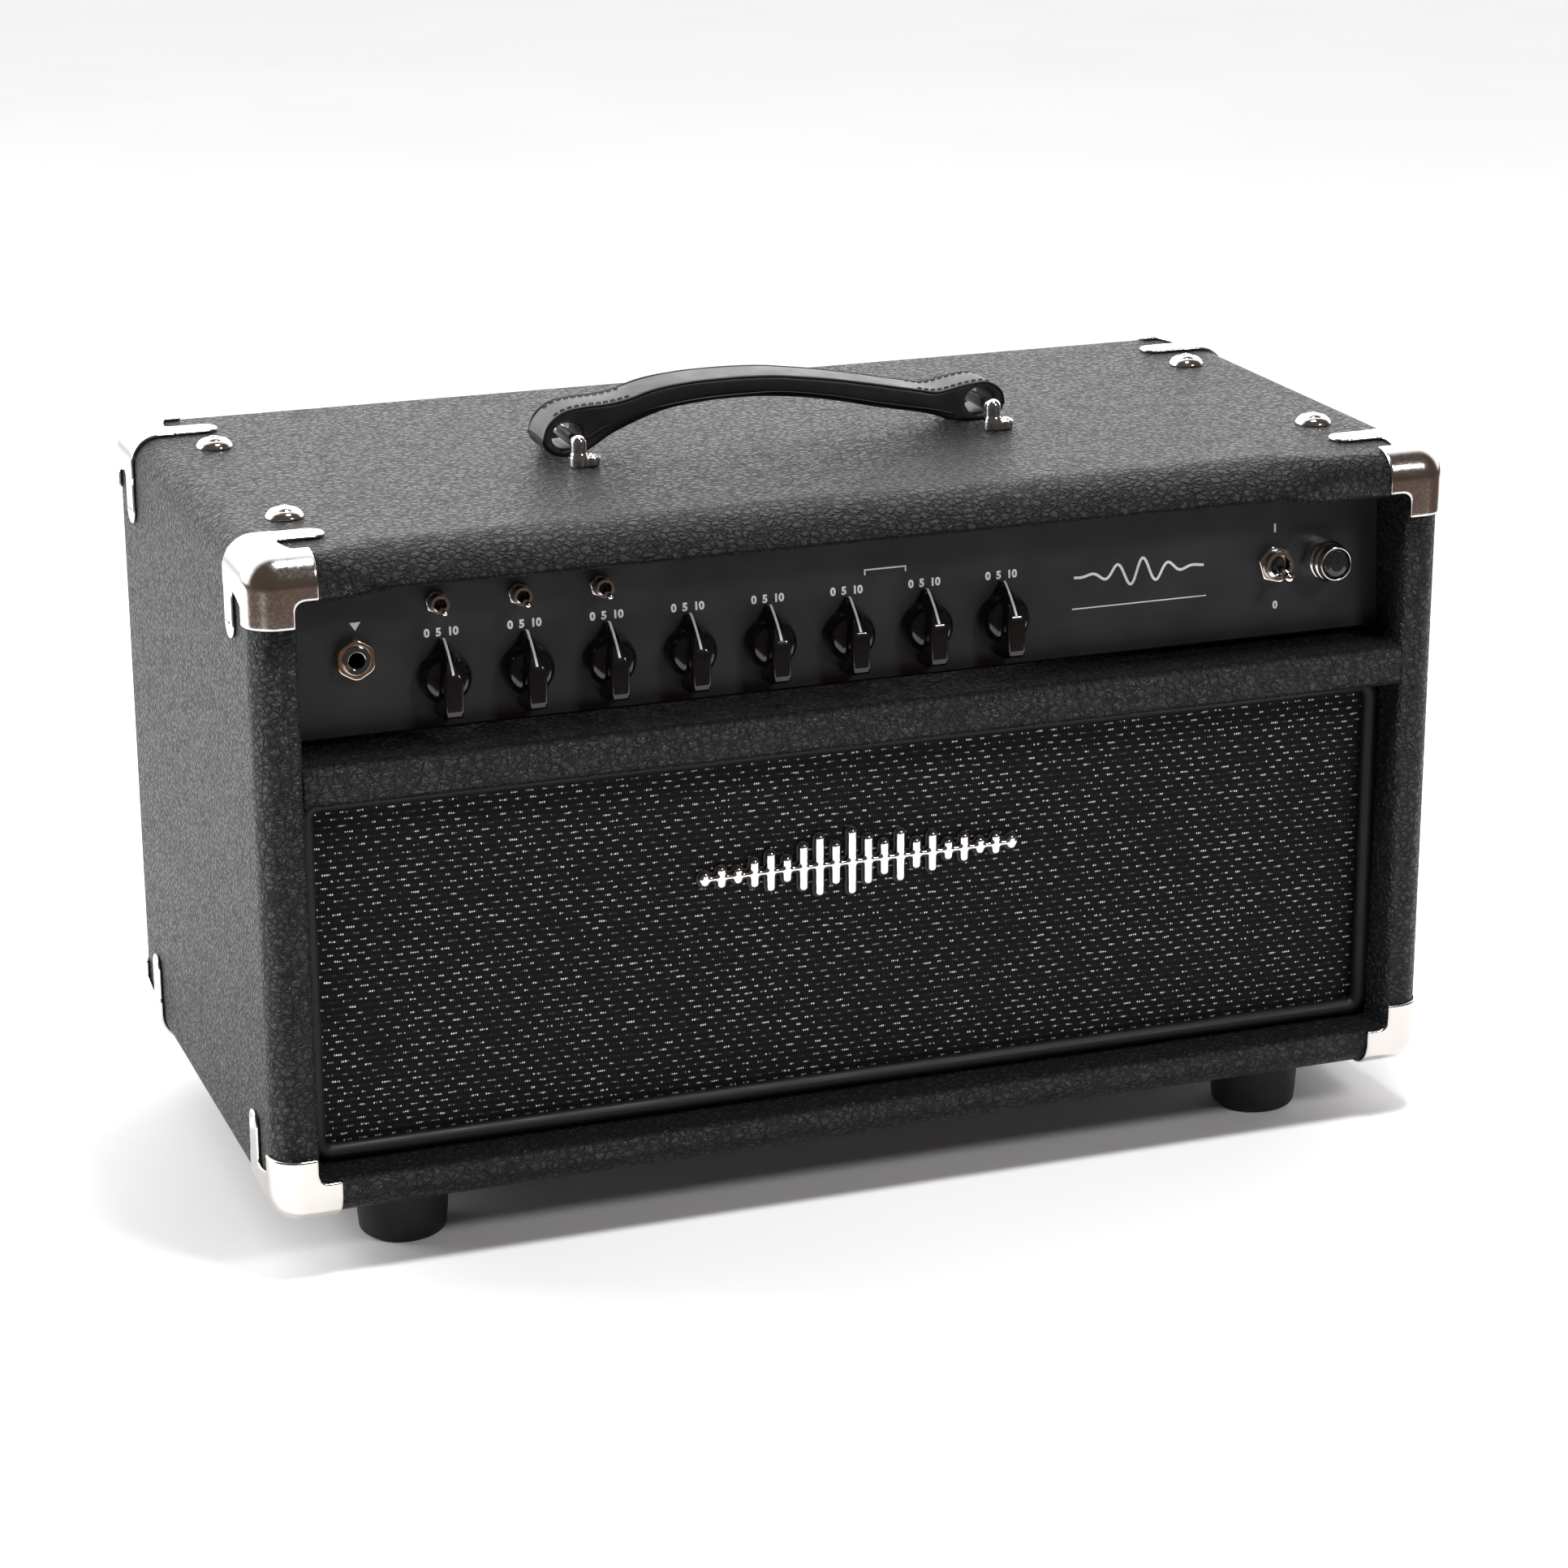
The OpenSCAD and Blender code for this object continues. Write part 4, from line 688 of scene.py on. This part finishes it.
# ------------------------------------------------------------------ feet
def feet():
    lo, hi = nbox("rubber_feet"); R = 19.25; X, Y = hi[0] - R, hi[1] - R; h = Z0
    P = rounded([(7.1, 12), (7.1, 1.2), (8.4, 0.0), (16.0, 0.0), (17.7, 1.6), (18.3, 8), (19.2, h - 1.2), (18.9, h), (2.1, h), (2.1, 12), (7.1, 12)], 0.9, 4)
    W = lathe(P, 72)
    v, q = join([(W[0] + np.array((sx * X, sy * Y, 0)), W[1]) for sx in (1, -1) for sy in (1, -1)])
    build("rubber_foot_set", v, q, M["rubber"], replaces=("rubber_feet",))
feet()

# ------------------------------------------------------------------ handle
def spline(P, k=6):
    """a smooth curve through points (Catmull-Rom)"""
    P = [np.array(p, float) for p in P]; out = []
    Q = [2 * P[0] - P[1]] + P + [2 * P[-1] - P[-2]]
    for i in range(1, len(Q) - 2):
        a, b, c, d = Q[i - 1:i + 3]
        for t in np.arange(k) / k: out.append(0.5 * (2 * b + (c - a) * t + (2 * a - 5 * b + 4 * c - d) * t * t + (3 * b - a - 3 * c + d) * t ** 3))
    out.append(P[-1]); return np.array(out)

def poly_sd(X, Y, P):
    """signed distance to a closed polygon (negative inside)"""
    d = np.full(X.shape, 1e9); s = np.zeros(X.shape, bool); n = len(P)
    for i in range(n):
        ax, ay = P[i]; bx, by = P[(i + 1) % n]; ex, ey = bx - ax, by - ay
        wx, wy = X - ax, Y - ay; t = np.clip((wx * ex + wy * ey) / (ex * ex + ey * ey + 1e-12), 0, 1)
        d = np.minimum(d, (wx - t * ex) ** 2 + (wy - t * ey) ** 2)
        if abs(ey) > 1e-12:
            c = ((ay <= Y) & (by > Y)) | ((by <= Y) & (ay > Y)); s ^= c & (X < ax + (Y - ay) / ey * ex)
    return np.where(s, -1, 1) * np.sqrt(d)

class Grid2:
    def __init__(self, lo, hi, h, fn):
        self.lo, self.h = lo, h
        gx = np.arange(lo[0], hi[0] + h, h); gy = np.arange(lo[1], hi[1] + h, h)
        self.D = fn(*np.meshgrid(gx, gy, indexing="ij")); self.n = self.D.shape
    def __call__(self, x, y):
        u = np.clip((x - self.lo[0]) / self.h, 0, self.n[0] - 1.001); v = np.clip((y - self.lo[1]) / self.h, 0, self.n[1] - 1.001)
        i, j = u.astype(int), v.astype(int); a, b = u - i, v - j; D = self.D
        return D[i, j] * (1 - a) * (1 - b) + D[i + 1, j] * a * (1 - b) + D[i, j + 1] * (1 - a) * b + D[i + 1, j + 1] * a * b

def handle():
    slo, shi = nbox("handle_strap"); hw = shi[1]; zt = Z1
    top = [(-101.4, 9.2), (-99.6, 13.6), (-96.2, 17.4), (-91, 20.3), (-83.5, 21.4), (-75.4, 21.7), (-69.6, 22.3), (-62.6, 23.8), (-55.6, 25.8), (-48.4, 27.1), (-41.5, 27.9), (-34.3, 28.4),
           (-23.6, 28.6), (-13, 28.5), (-0.3, 27.8), (13, 26.1), (23.1, 24.6), (37.7, 21.9), (52.3, 18.9), (63.4, 16.6), (70.5, 15.2), (76, 15.7), (82, 16.9), (88, 17.7), (93.5, 17.8), (98.2, 15.6), (101.2, 12.2), (102, 8.6)]
    bot = [(102, 8.6), (101.3, 5.0), (98.6, 2.3), (94.4, 1.05), (88, 1.0), (80, 1.9), (72, 3.7), (62.1, 6.0), (54.7, 7.4), (43.8, 9.6), (29.3, 13.0), (14.9, 15.7), (0.6, 17.5), (-10.1, 18.2), (-20.7, 18.3), (-31.3, 17.9), (-41.8, 16.9),
           (-48.9, 15.6), (-55.9, 13.6), (-62.9, 11.1), (-69.9, 8.2), (-76.9, 5.0), (-83.9, 2.2), (-89.5, 1.0), (-94.5, 1.3), (-98.6, 3.4), (-101, 6.2), (-101.4, 9.2)]
    outer = np.concatenate([spline(top)[:-1], spline(bot)[:-1]])
    def eye(s, zc):
        a = [(s * 86.2, zc - 4.9), (s * 84.2, zc - 1.4), (s * 84.8, zc + 2.4), (s * 87.2, zc + 4.4), (s * 91, zc + 5.2), (s * 95.0, zc + 3.9), (s * 97.2, zc + 0.6), (s * 96.4, zc - 3.2), (s * 93.2, zc - 5.3), (s * 89.4, zc - 5.4)]
        return spline(a + [a[0]])[:-1]
    eL, eR = eye(-1, 10.0), eye(1, 10.0)
    G = Grid2((-104, -2), (104, 32), 0.4, lambda X, Y: np.maximum(np.maximum(poly_sd(X, Y, outer), -poly_sd(X, Y, eL)), -poly_sd(X, Y, eR)))
    tp, bt = spline(top), spline(bot)[::-1]
    tx, tz = tp[:, 0], tp[:, 1]; bx, bz = bt[:, 0], bt[:, 1]
    def f(x, y, z):
        t = np.interp(x, tx, tz); b = np.interp(x, bx[np.argsort(bx)], bz[np.argsort(bx)]); e = np.abs(y) / hw
        body = sstep(-84, -70, x) * (1 - sstep(66, 78, x))
        wb = np.clip(((t + b) / 2 - z) / 4 + 0.5, 0, 1) * body
        puff = body * 0.35 * np.clip(np.sin(np.clip((z - b) / np.maximum(t - b, 1), 0, 1) * math.pi), 0, 1)
        zz = z - wb * 2.4 * e ** 4 + (1 - wb) * 0.55 * (e ** 2)
        d2 = G(x, zz)
        return smax(d2, np.abs(y) - hw + 0.35 - puff, 1.7)
    V, F = nets(f, (-102.6, -hw - 0.4, 0.4), (102.6, hw + 0.4, 29.6), 0.62, 2)
    V[:, 2] += zt; V[:, 1] = np.clip(V[:, 1], -hw, hw)
    o = build("handle_strap_padded", V, F, M["leather"], body="handle", replaces=("handle_strap",))
    # edge binding and seams
    seamt = spline([(-101.1, 7.2), (-99.4, 13.2), (-96.0, 17.0), (-90.9, 19.8), (-83.5, 20.9), (-75.4, 21.2), (-69.6, 21.8), (-62.6, 23.2), (-55.6, 25.3), (-48.4, 26.6), (-41.5, 27.3), (-34.3, 27.8), (-23.6, 28.0), (-13, 27.9), (-0.3, 27.2),
                    (13, 25.5), (23.1, 24.0), (37.7, 21.3), (52.3, 18.3), (63.4, 16.0), (70.5, 14.6), (76, 15.1), (82, 16.3), (88, 17.1), (93.3, 17.2), (97.8, 15.2), (100.7, 12.0), (101.5, 7.4)], 5)
    seamb = spline([(-82.6, 7.6), (-76.8, 11.0), (-69.8, 13.9), (-62.8, 15.9), (-55.8, 17.7), (-41.8, 19.6), (-27.7, 20.6), (-13.6, 20.8), (0.6, 20.5), (14.9, 18.6), (29.3, 15.8), (43.8, 12.5), (58.4, 9.5), (69.4, 7.3), (79.2, 4.6)], 5)
    parts = []
    for s in (-1, 1):
        parts.append(tube([(x, s * (hw - 0.62), zt + z - 0.15) for x, z in seamt], 0.62, 8))
        parts.append(tube([(x, s * (hw - 0.45), zt + z) for x, z in seamb], 0.5, 8))
    v, q = join(parts); build("handle_edge_binding", v, q, M["vinyl"], body="handle")
    st = []
    cum = np.concatenate([[0], np.cumsum(np.hypot(*np.diff(seamt, axis=0).T))])
    for s in (-1, 1):
        d = 12.0
        while d < cum[-1] - 12:
            x0, z0 = np.interp(d, cum, seamt[:, 0]), np.interp(d, cum, seamt[:, 1]); x1, z1 = np.interp(d + 2.2, cum, seamt[:, 0]), np.interp(d + 2.2, cum, seamt[:, 1])
            if abs(x0) > 63:
                n = np.array([-(z1 - z0), x1 - x0]); n /= np.linalg.norm(n)
                P = []
                for t, hgt in ((0, -0.25), (0.15, 0.12), (0.5, 0.26), (0.85, 0.12), (1, -0.25)):
                    x, z = x0 + (x1 - x0) * t, z0 + (z1 - z0) * t
                    P.append((x + n[0] * (hgt + 0.42), s * (hw - 3.4), zt + z + n[1] * (hgt + 0.42)))
                st.append(tube(P, [0.14, 0.3, 0.34, 0.3, 0.14], 6))
            d += 3.1
    v, q = join(st); build("handle_stitches", v, q, M["thread"], body="handle")
    # brackets
    blo, bhi = nbox("handle_brackets"); py = 25.0; px = 90.6
    def fb(x, y, z):
        ya = np.abs(y) - py; r = np.hypot(x, ya)
        post = smax(np.hypot(x, ya) - 3.15, z - 10, 0.01); dome = np.sqrt(x * x + ya * ya + (z - 10) ** 2) - 3.15
        post = np.minimum(post, dome)
        post = np.maximum(post, -z)
        ring = smax(r - 3.75, np.abs(z - 2.3) - 2.3, 1.0)
        lug = smax(np.hypot(x - 5.6, ya) - 3.4, np.abs(z - 2.1) - 2.1, 1.0)
        web = smax(smax(np.abs(x - 2.8) - 2.9, np.abs(ya) - 3.0, 0.8), np.abs(z - 2.0) - 2.0, 0.8)
        foot = smin(smin(ring, lug, 0.5), web, 0.5)
        cap = smax(np.abs(r - 0.0) - 3.55, np.abs(z - 5.2) - 0.55, 0.7)
        bar = np.maximum(np.hypot(x, z - 9.5) - 2.5, np.abs(y) - py)
        d = smin(smin(foot, post, 0.7), bar, 1.2); d = smin(d, cap, 0.4)
        cs = np.hypot(x - 5.6, ya); cb = np.maximum(cs - (1.75 + np.clip(z - 3.4, 0, 1) * 0.8), -z)
        return np.maximum(np.maximum(d, -cb), -z)
    V, F = nets(fb, (-4.2, -29.2, -0.1), (9.4, 29.2, 13.6), 0.42, 2)
    v, q = join([(V + np.array((s * px, 0, Z1 + 0.02)), F) for s in (-1, 1)])
    v[:, 2] = np.maximum(v[:, 2], Z1 + 0.02)
    build("handle_bracket_pair", v, q, M["chrome_b"], replaces=("handle_brackets",))
    def fs(x, y, z):
        rr = np.hypot(x, y); dome = np.sqrt(rr * rr + (z + 1.7) ** 2) - 3.1
        return np.maximum(smax(smax(dome, -z, 0.2), rr - 2.35, 0.2), -phillips(x, y, z, 1.35, 1.3, 0.34, 0.8))
    SV, SF = nets(fs, (-2.5, -2.5, -0.1), (2.5, 2.5, 1.5), 0.14, 1)
    parts = [(SV + np.array((s * px + 5.6, t * py, Z1 + 3.85)), SF) for s in (-1, 1) for t in (-1, 1)]
    sh = lathe([(0, -13), (1.55, -13), (1.55, 3.9), (0, 3.9)], 16)
    parts += [(sh[0] + np.array((s * px + 5.6, t * py, Z1)), sh[1]) for s in (-1, 1) for t in (-1, 1)]
    v, q = join(parts); build("handle_screw_set", v, q, M["chrome"], replaces=("handle_screws",))
handle()

# ------------------------------------------------------------------ control panel
def faces_by_normal(o, axis, mat_front, mat_other, lim=0.9):
    o.data.materials.clear(); o.data.materials.append(mat_other); o.data.materials.append(mat_front)
    for p in o.data.polygons: p.material_index = 1 if p.normal.dot(axis) > lim else 0

pnl = refine("control_panel", M["panel"], 0.25, 1)
faces_by_normal(pnl, N, M["panel"], M["edge"])

def hexsdf(x, y, af):
    return np.maximum(np.maximum(np.abs(x), np.abs(0.5 * x + 0.8660254 * y)), np.abs(0.5 * x - 0.8660254 * y)) - af / 2
def nut_mesh(af, h, ri, cone=None, res=0.4, rot=0.0):
    def f(x, y, z):
        c, s = math.cos(rot), math.sin(rot); X, Y = c * x + s * y, -s * x + c * y
        d = smax(hexsdf(X, Y, af), np.abs(z - h / 2) - h / 2, 0.5); r = np.hypot(x, y)
        if cone: d = smax(smax(d, (r - (cone[0] + (cone[1] - cone[0]) * z / cone[2])) * 0.8, 0.35), r - 7.95, 0.4)
        else: d = smax(d, (r + z * 1.5 - (af / 2 * 1.05 + h * 1.5)) * 0.55, 0.3)
        return np.maximum(d, ri - r)
    R = af / 2 * 1.16
    return nets(f, (-R, -R, -0.1), (R, R, h + 0.1), res, 2)

JX, RV, MV = -205.8, 1.8, 20.8
KX0, KP, KV = -171.0, 33.3, -8.8
jn = nut_mesh(14.6, 4.2, 5.65, (10.2, 6.6, 6.0), 0.3)
build("input_jack_nut", xf(panM(JX, RV, 0.02), jn[0]), jn[1], M["warm"])
nuts = [(xf(panM(184, RV, 0.02), nv), nf) for nv, nf in [nut_mesh(14.2, 2.6, 6.05, None, 0.34, 0.26)]]
mv, mf = nut_mesh(8.0, 1.8, 3.65, None, 0.3, 0.2)
for i in range(3): nuts.append((xf(panM(KX0 - 1.7 + i * 33, MV, 0.02), mv), mf))
kv, kf = nut_mesh(12.6, 2.2, 4.8, None, 0.5)
for i in range(8): nuts.append((xf(panM(KX0 + i * KP, KV, 0.02), kv), kf))
v, q = join(nuts); build("panel_nut_set", v, q, M["chrome"], replaces=("panel_nuts",))

def jack():
    o = refine("input_jack", M["black"], 0.3, 2)
    o.data.materials.append(M["chrome"])
    R = panM(JX, RV).inverted()
    for p in o.data.polygons:
        c = R @ (p.center / MM)
        if c.z > -3.45 and math.hypot(c.x, c.y) > 3.25: p.material_index = 1
    # a near-black disc inside the jack bore: painted shade for the dark hole
    fl = lathe([(0, -10), (3.1, -10), (3.1, -9.6), (0, -9.6)], 32)
    build("input_jack_shade_disc", xf(panM(JX, RV), fl[0]), fl[1], M["dark"])
jack()

def knobs():
    H = 15.0
    ys = np.array([-15.0, -13.6, -12, -10, 0, 2.5, 4, 6.5, 9, 11.5, 13.5, 15, 16]); hs = np.array([9.0, 13.2, 14.4, 14.8, 14.9, 14.5, 13.7, 11.8, 9.7, 7.3, 5.1, 3.2, 2.2])
    yw = np.array([-15.0, -8, 0, 4, 9, 13, 16]); ww = np.array([3.65, 3.9, 3.95, 3.3, 2.35, 1.4, 0.55])
    sp = spline(np.stack([ys, hs], 1), 8)
    def f(x, y, z):
        r = np.hypot(x, y)
        t = np.clip((z - 1.6) / 6.6, 0, 1); R = 10.4 - 2.9 * t * t
        skirt = smax((r - R) * 0.95, z - 7.9, 2.2)
        w = np.interp(y, yw, ww); h = np.interp(y, sp[:, 0], sp[:, 1])
        dr = np.clip(1 - z / 12, 0, 1) * 0.35
        fin = smax(smax((np.abs(x) - w - dr) * 0.98, (z - h) * 0.74, 1.5), np.maximum(y - 16.0, -15.0 - y - 0.0 * z), 1.3)
        d = smin(skirt, fin, 1.6)
        d = smax(d, -z, 0.25)
        d = np.maximum(d, -(np.maximum(r - 7.8, z - 2.4)))
        return np.maximum(d, -(np.maximum(r - 3.02, z - 11.5)))
    V, F = nets(f, (-10.8, -15.6, -0.2), (10.8, 16.6, 15.6), 0.42, 2)
    # pointer line
    yy = np.linspace(3.4, 15.7, 36); hh = np.interp(yy, sp[:, 0], sp[:, 1])
    LV, LF = [], []
    prof = [(-0.55, -0.25), (-0.5, 0.05), (-0.3, 0.16), (0, 0.2), (0.3, 0.16), (0.5, 0.05), (0.55, -0.25)]
    dh = np.gradient(hh, yy)
    def onsurf(y, h, s):      # the fin's surface from the distance field, so that the line lies on it
        z = h + 0.6
        for _ in range(30):
            d = float(f(np.array([0.0]), np.array([y]), np.array([z]))[0]); z -= d * 1.1
            if abs(d) < 1e-4: break
        return z
    top = [onsurf(y, h, 0) for y, h in zip(yy, hh)]
    for k, (y, h, s) in enumerate(zip(yy, top, dh)):
        n = np.array([-s, 1.0]); n /= np.linalg.norm(n)
        for a, b in prof: LV.append((a, y + n[0] * b, h + n[1] * b))
    m = len(prof)
    for k in range(len(yy) - 1):
        for j in range(m): LF.append((k * m + j, k * m + (j + 1) % m, (k + 1) * m + (j + 1) % m, (k + 1) * m + j))
    LF.append(tuple(range(m))); LF.append(tuple((len(yy) - 1) * m + j for j in range(m))[::-1])
    LV = np.array(LV)
    for i, name in enumerate(KN):
        T = panM(KX0 + i * KP, KV, 1.0)
        build("knob_%s_cap" % name, xf(T, V), F, M["knob"], body="control_" + name, replaces=("knob_" + name,))
        build("knob_%s_pointer" % name, xf(T, LV), LF, M["pointer"], body="control_" + name)
knobs()

def toggles():
    refine("toggle_switches", M["chrome"], 0.3, 2)
    for i, nm in enumerate(("left", "middle", "right")):
        a = math.radians(12.5); L = 10.0
        P = [(0, 1.6), (1.0, 1.7), (1.02, 3.2), (1.1, 6), (1.2, 9.2)] + arc(0, L, 1.3, -20, 88, 8) + [(0, L + 1.3)]
        W = lathe(P, 24); R = Matrix.Rotation(a, 4, "X"); B = lathe([(0, -2.25)] + arc(0, 0, 2.25, -80, 80, 16) + [(0, 2.25)], 24)
        # the lever's pivot ball is chrome but gets the near-black material: painted shade inside the bushing
        build("mini_lever_%s_ball" % nm, xf(panM(KX0 - 1.7 + i * 33, MV, 3.5) @ R, B[0]), B[1], M["dark"], body="mini_switch_" + nm)
        build("mini_lever_%s_bat" % nm, xf(panM(KX0 - 1.7 + i * 33, MV, 3.5) @ R, W[0]), W[1], M["chrome_b"], body="mini_switch_" + nm, replaces=("mini_lever_" + nm,))
    a = math.radians(18); L = 11.5
    B = lathe([(0, -3.55)] + arc(0, 0, 3.55, -80, 80, 18) + [(0, 3.55)], 28)
    # the standby lever's pivot ball is chrome but gets the near-black material: painted shade inside the bushing
    build("standby_lever_ball", xf(panM(184, RV, 2.2) @ Matrix.Rotation(a, 4, "X"), B[0]), B[1], M["dark"], body="standby_switch")
    P = [(0, 2.9), (1.6, 3.0), (1.68, 4.4), (1.9, 8), (2.15, 10.6)] + arc(0, L, 2.3, -18, 88, 10) + [(0, L + 2.3)]
    W = lathe(P, 32)
    build("standby_lever_bat", xf(panM(184, RV, 2.2) @ Matrix.Rotation(a, 4, "X"), W[0]), W[1], M["chrome_b"], body="standby_switch", replaces=("standby_lever",))
toggles()

def lamp():
    P = rounded([(5.3, -14), (6.5, -14), (6.5, 0.05), (8.6, 0.05), (8.6, 6.3), (8.0, 6.7), (7.9, 7.0), (7.9, 9.5), (7.5, 9.8), (7.2, 10.1), (7.2, 12.9), (6.9, 13.4), (6.4, 13.4), (6.15, 12.8), (6.15, 5.0), (5.3, 5.0), (5.3, -14)], 0.28, 3)
    W = lathe(P, 64)
    build("pilot_bezel_ring", xf(panM(206, RV), W[0]), W[1], M["chrome"], replaces=("pilot_bezel",))
    # jewel: faceted dome
    V, F = [], []; n = 12; R = 6.05
    rings = [(R, 5.1), (R, 12.2), (R * 0.86, 13.3), (R * 0.52, 14.1)]
    for k, (r, z) in enumerate(rings):
        ph = math.pi / n * (k % 2)
        V += [(r * math.cos(ph + 2 * math.pi * i / n), r * math.sin(ph + 2 * math.pi * i / n), z) for i in range(n)]
    V += [(0, 0, 14.35), (0, 0, 5.1)]
    for k in range(3):
        for i in range(n):
            j = (i + 1) % n; a, b = k * n, (k + 1) * n
            if k % 2 == 0: F += [(a + i, a + j, b + i), (a + j, b + j, b + i)]
            else: F += [(a + i, a + j, b + j), (a + i, b + j, b + i)]
    for i in range(n): F += [(3 * n + i, 3 * n + (i + 1) % n, 4 * n), ((i + 1) % n, i, 4 * n + 1)]
    build("pilot_jewel_faceted", xf(panM(206, RV), np.array(V)), F, M["jewel"], replaces=("pilot_jewel",), smooth=False)
    # a near-black disc under the jewel: painted shade for the dark lamp cavity
    c = lathe([(0, 5.0), (6.0, 5.0), (6.0, 5.06), (0, 5.06)], 24)
    build("pilot_shade_disc", xf(panM(206, RV), c[0]), c[1], M["dark"])
lamp()

# ------------------------------------------------------------------ printed marks (generic dial numbers and symbols only)
def text_mesh(s, height, bold=0.012, space=1.0):
    cu = bpy.data.curves.new("t", "FONT"); cu.body = s; cu.align_x = "CENTER"; cu.align_y = "CENTER"; cu.size = 1.0; cu.offset = bold; cu.space_character = space
    cu.extrude = 0.01; cu.resolution_u = 4
    o = bpy.data.objects.new("t", cu); bpy.context.scene.collection.objects.link(o)
    dg = bpy.context.evaluated_depsgraph_get(); me = bpy.data.meshes.new_from_object(o.evaluated_get(dg))
    V = np.array([v.co for v in me.vertices]); F = [tuple(p.vertices) for p in me.polygons]
    bpy.data.objects.remove(o); bpy.data.curves.remove(cu); bpy.data.meshes.remove(me)
    k = height / (V[:, 1].max() - V[:, 1].min()); V[:, :2] *= k
    V[:, 0] -= (V[:, 0].max() + V[:, 0].min()) / 2; V[:, 1] -= (V[:, 1].max() + V[:, 1].min()) / 2
    V[:, 2] = np.where(V[:, 2] > 0, 0.06, 0.01)
    return V, F

def flat_bar(x0, x1, y0, y1):
    V = np.array([(x, y, z) for z in (0.01, 0.06) for x, y in ((x0, y0), (x1, y0), (x1, y1), (x0, y1))])
    return V, [(0, 3, 2, 1), (4, 5, 6, 7), (0, 1, 5, 4), (1, 2, 6, 5), (2, 3, 7, 6), (3, 0, 4, 7)]

def marks():
    parts = []
    def put(V, F, u, v): parts.append((xf(panM(u, v, 0.0), V), F))
    V, F = text_mesh("0  5  10", 3.5, 0.045)
    for i in range(8): put(V, F, KX0 + i * KP, 8.8)
    V, F = text_mesh("1", 3.6, 0.045); put(V, F, 184.5, 16.7)
    V, F = text_mesh("0", 3.4, 0.045); put(V, F, 184.4, -15.5)
    # arrow over the jack
    V = np.array([(-2.2, 1.5, z) for z in (0.01, 0.06)] + [(2.2, 1.5, z) for z in (0.01, 0.06)] + [(0, -1.7, z) for z in (0.01, 0.06)])
    put(V, [(0, 2, 4), (1, 5, 3), (0, 1, 3, 2), (2, 3, 5, 4), (4, 5, 1, 0)], -204.7, 14.3)
    # bracket that groups the send and return knobs
    x0 = KX0 + 5 * KP; x1 = KX0 + 6 * KP; xc = (x0 + x1) / 2
    for V, F in (flat_bar(xc - 9, xc + 9, 16.0, 16.6), flat_bar(xc - 9, xc - 8.4, 14.2, 16.0), flat_bar(xc + 8.4, xc + 9, 14.2, 16.0)): put(V, F, 0, 0)
    # small wave mark in place of the maker's script
    P = wave_points(58, 5.4, 5.0, 260, 0.26); n = len(P)
    t = np.gradient(P, axis=0); t /= np.linalg.norm(t, axis=1)[:, None]; nn = np.stack([-t[:, 1], t[:, 0]], 1)
    w = 0.55; V = []
    for k in range(n):
        for s, z in ((-1, 0.01), (1, 0.01), (1, 0.06), (-1, 0.06)): V.append((*(P[k] + nn[k] * w * s), z))
    F = []
    for k in range(n - 1):
        for j in range(4): F.append((k * 4 + j, k * 4 + (j + 1) % 4, (k + 1) * 4 + (j + 1) % 4, (k + 1) * 4 + j))
    F += [(0, 1, 2, 3), tuple((n - 1) * 4 + j for j in (3, 2, 1, 0))]
    put(np.array(V), F, 123, 4.5)
    V, F = flat_bar(-30, 30, -0.25, 0.25); put(V, F, 123, -8.5)
    V, F = join(parts)
    build("panel_marks", V, F, M["white"], smooth=False)
marks()

# ------------------------------------------------------------------ rear and inside
refine("rear_panel", M["tolex"], 1.2, 3); refine("rear_vent_mesh", M["mesh"], 0.2, 1)
refine("rear_panel_screws", M["zinc"], 0.2, 1); refine("rear_cleats", M["wood"], 0.4, 1); refine("grille_baffle", M["wood"], 0.3, 1)
refine("foot_screws", M["zinc"], 0.15, 1); ch = refine("chassis", M["zinc"], 0.3, 1)
ch.data.materials.append(M["edge"]); ch.data.materials.append(M["panel"])
for p in ch.data.polygons:          # the front flange behind the panel and the outer rear wall are painted black
    if p.center.y < -0.09: p.material_index = 1
    elif p.center.y > thi[1] * MM - 0.0178: p.material_index = 2
mi = refine("mains_inlet", M["black"], 0.4, 2); refine("fuse_holder", M["black"], 0.4, 2); rj = refine("rear_jacks", M["black"], 0.3, 2)
mi.data.materials.append(M["panel"]); rj.data.materials.append(M["chrome"]); rj.data.materials.append(M["panel"])
for p in mi.data.polygons:          # the painted plate round the socket
    if p.center.y < thi[1] * MM - 0.0175 and p.center.y > thi[1] * MM - 0.0196 and (abs(p.center.x - 0.186) > 0.0148 or abs(p.center.z - 0.244) > 0.0112 or p.area > 0.001): p.material_index = 1
for p in rj.data.polygons:          # the painted plate round the jacks
    if thi[1] * MM - 0.0196 < p.center.y < thi[1] * MM - 0.0174 and (p.area > 0.001 or min(abs(p.center.x + q) for q in (0.19, 0.16, 0.13, 0.1)) > 0.0112 or abs(p.center.z - 0.244) > 0.012): p.material_index = 2
for p in rj.data.polygons:
    if p.center.y > thi[1] * MM - 0.0174 and abs(p.center.z - 0.244) < 0.009: p.material_index = 1
refine("mains_switch", M["black"], 0.4, 2); refine("mains_rocker", M["knob"], 0.5, 2)
refine("circuit_board", M["pcb"], 0.3, 1); refine("transformers", M["iron"], 0.8, 2); refine("potentiometers", M["zinc"], 0.3, 1)
refine("power_tubes", M["tube"], 0.0); refine("preamp_tubes", M["tube"], 0.0); refine("reverb_tank", M["zinc"], 0.5, 2)
for k in KN: refine("shaft_" + k, M["alu"], 0.25, 1)
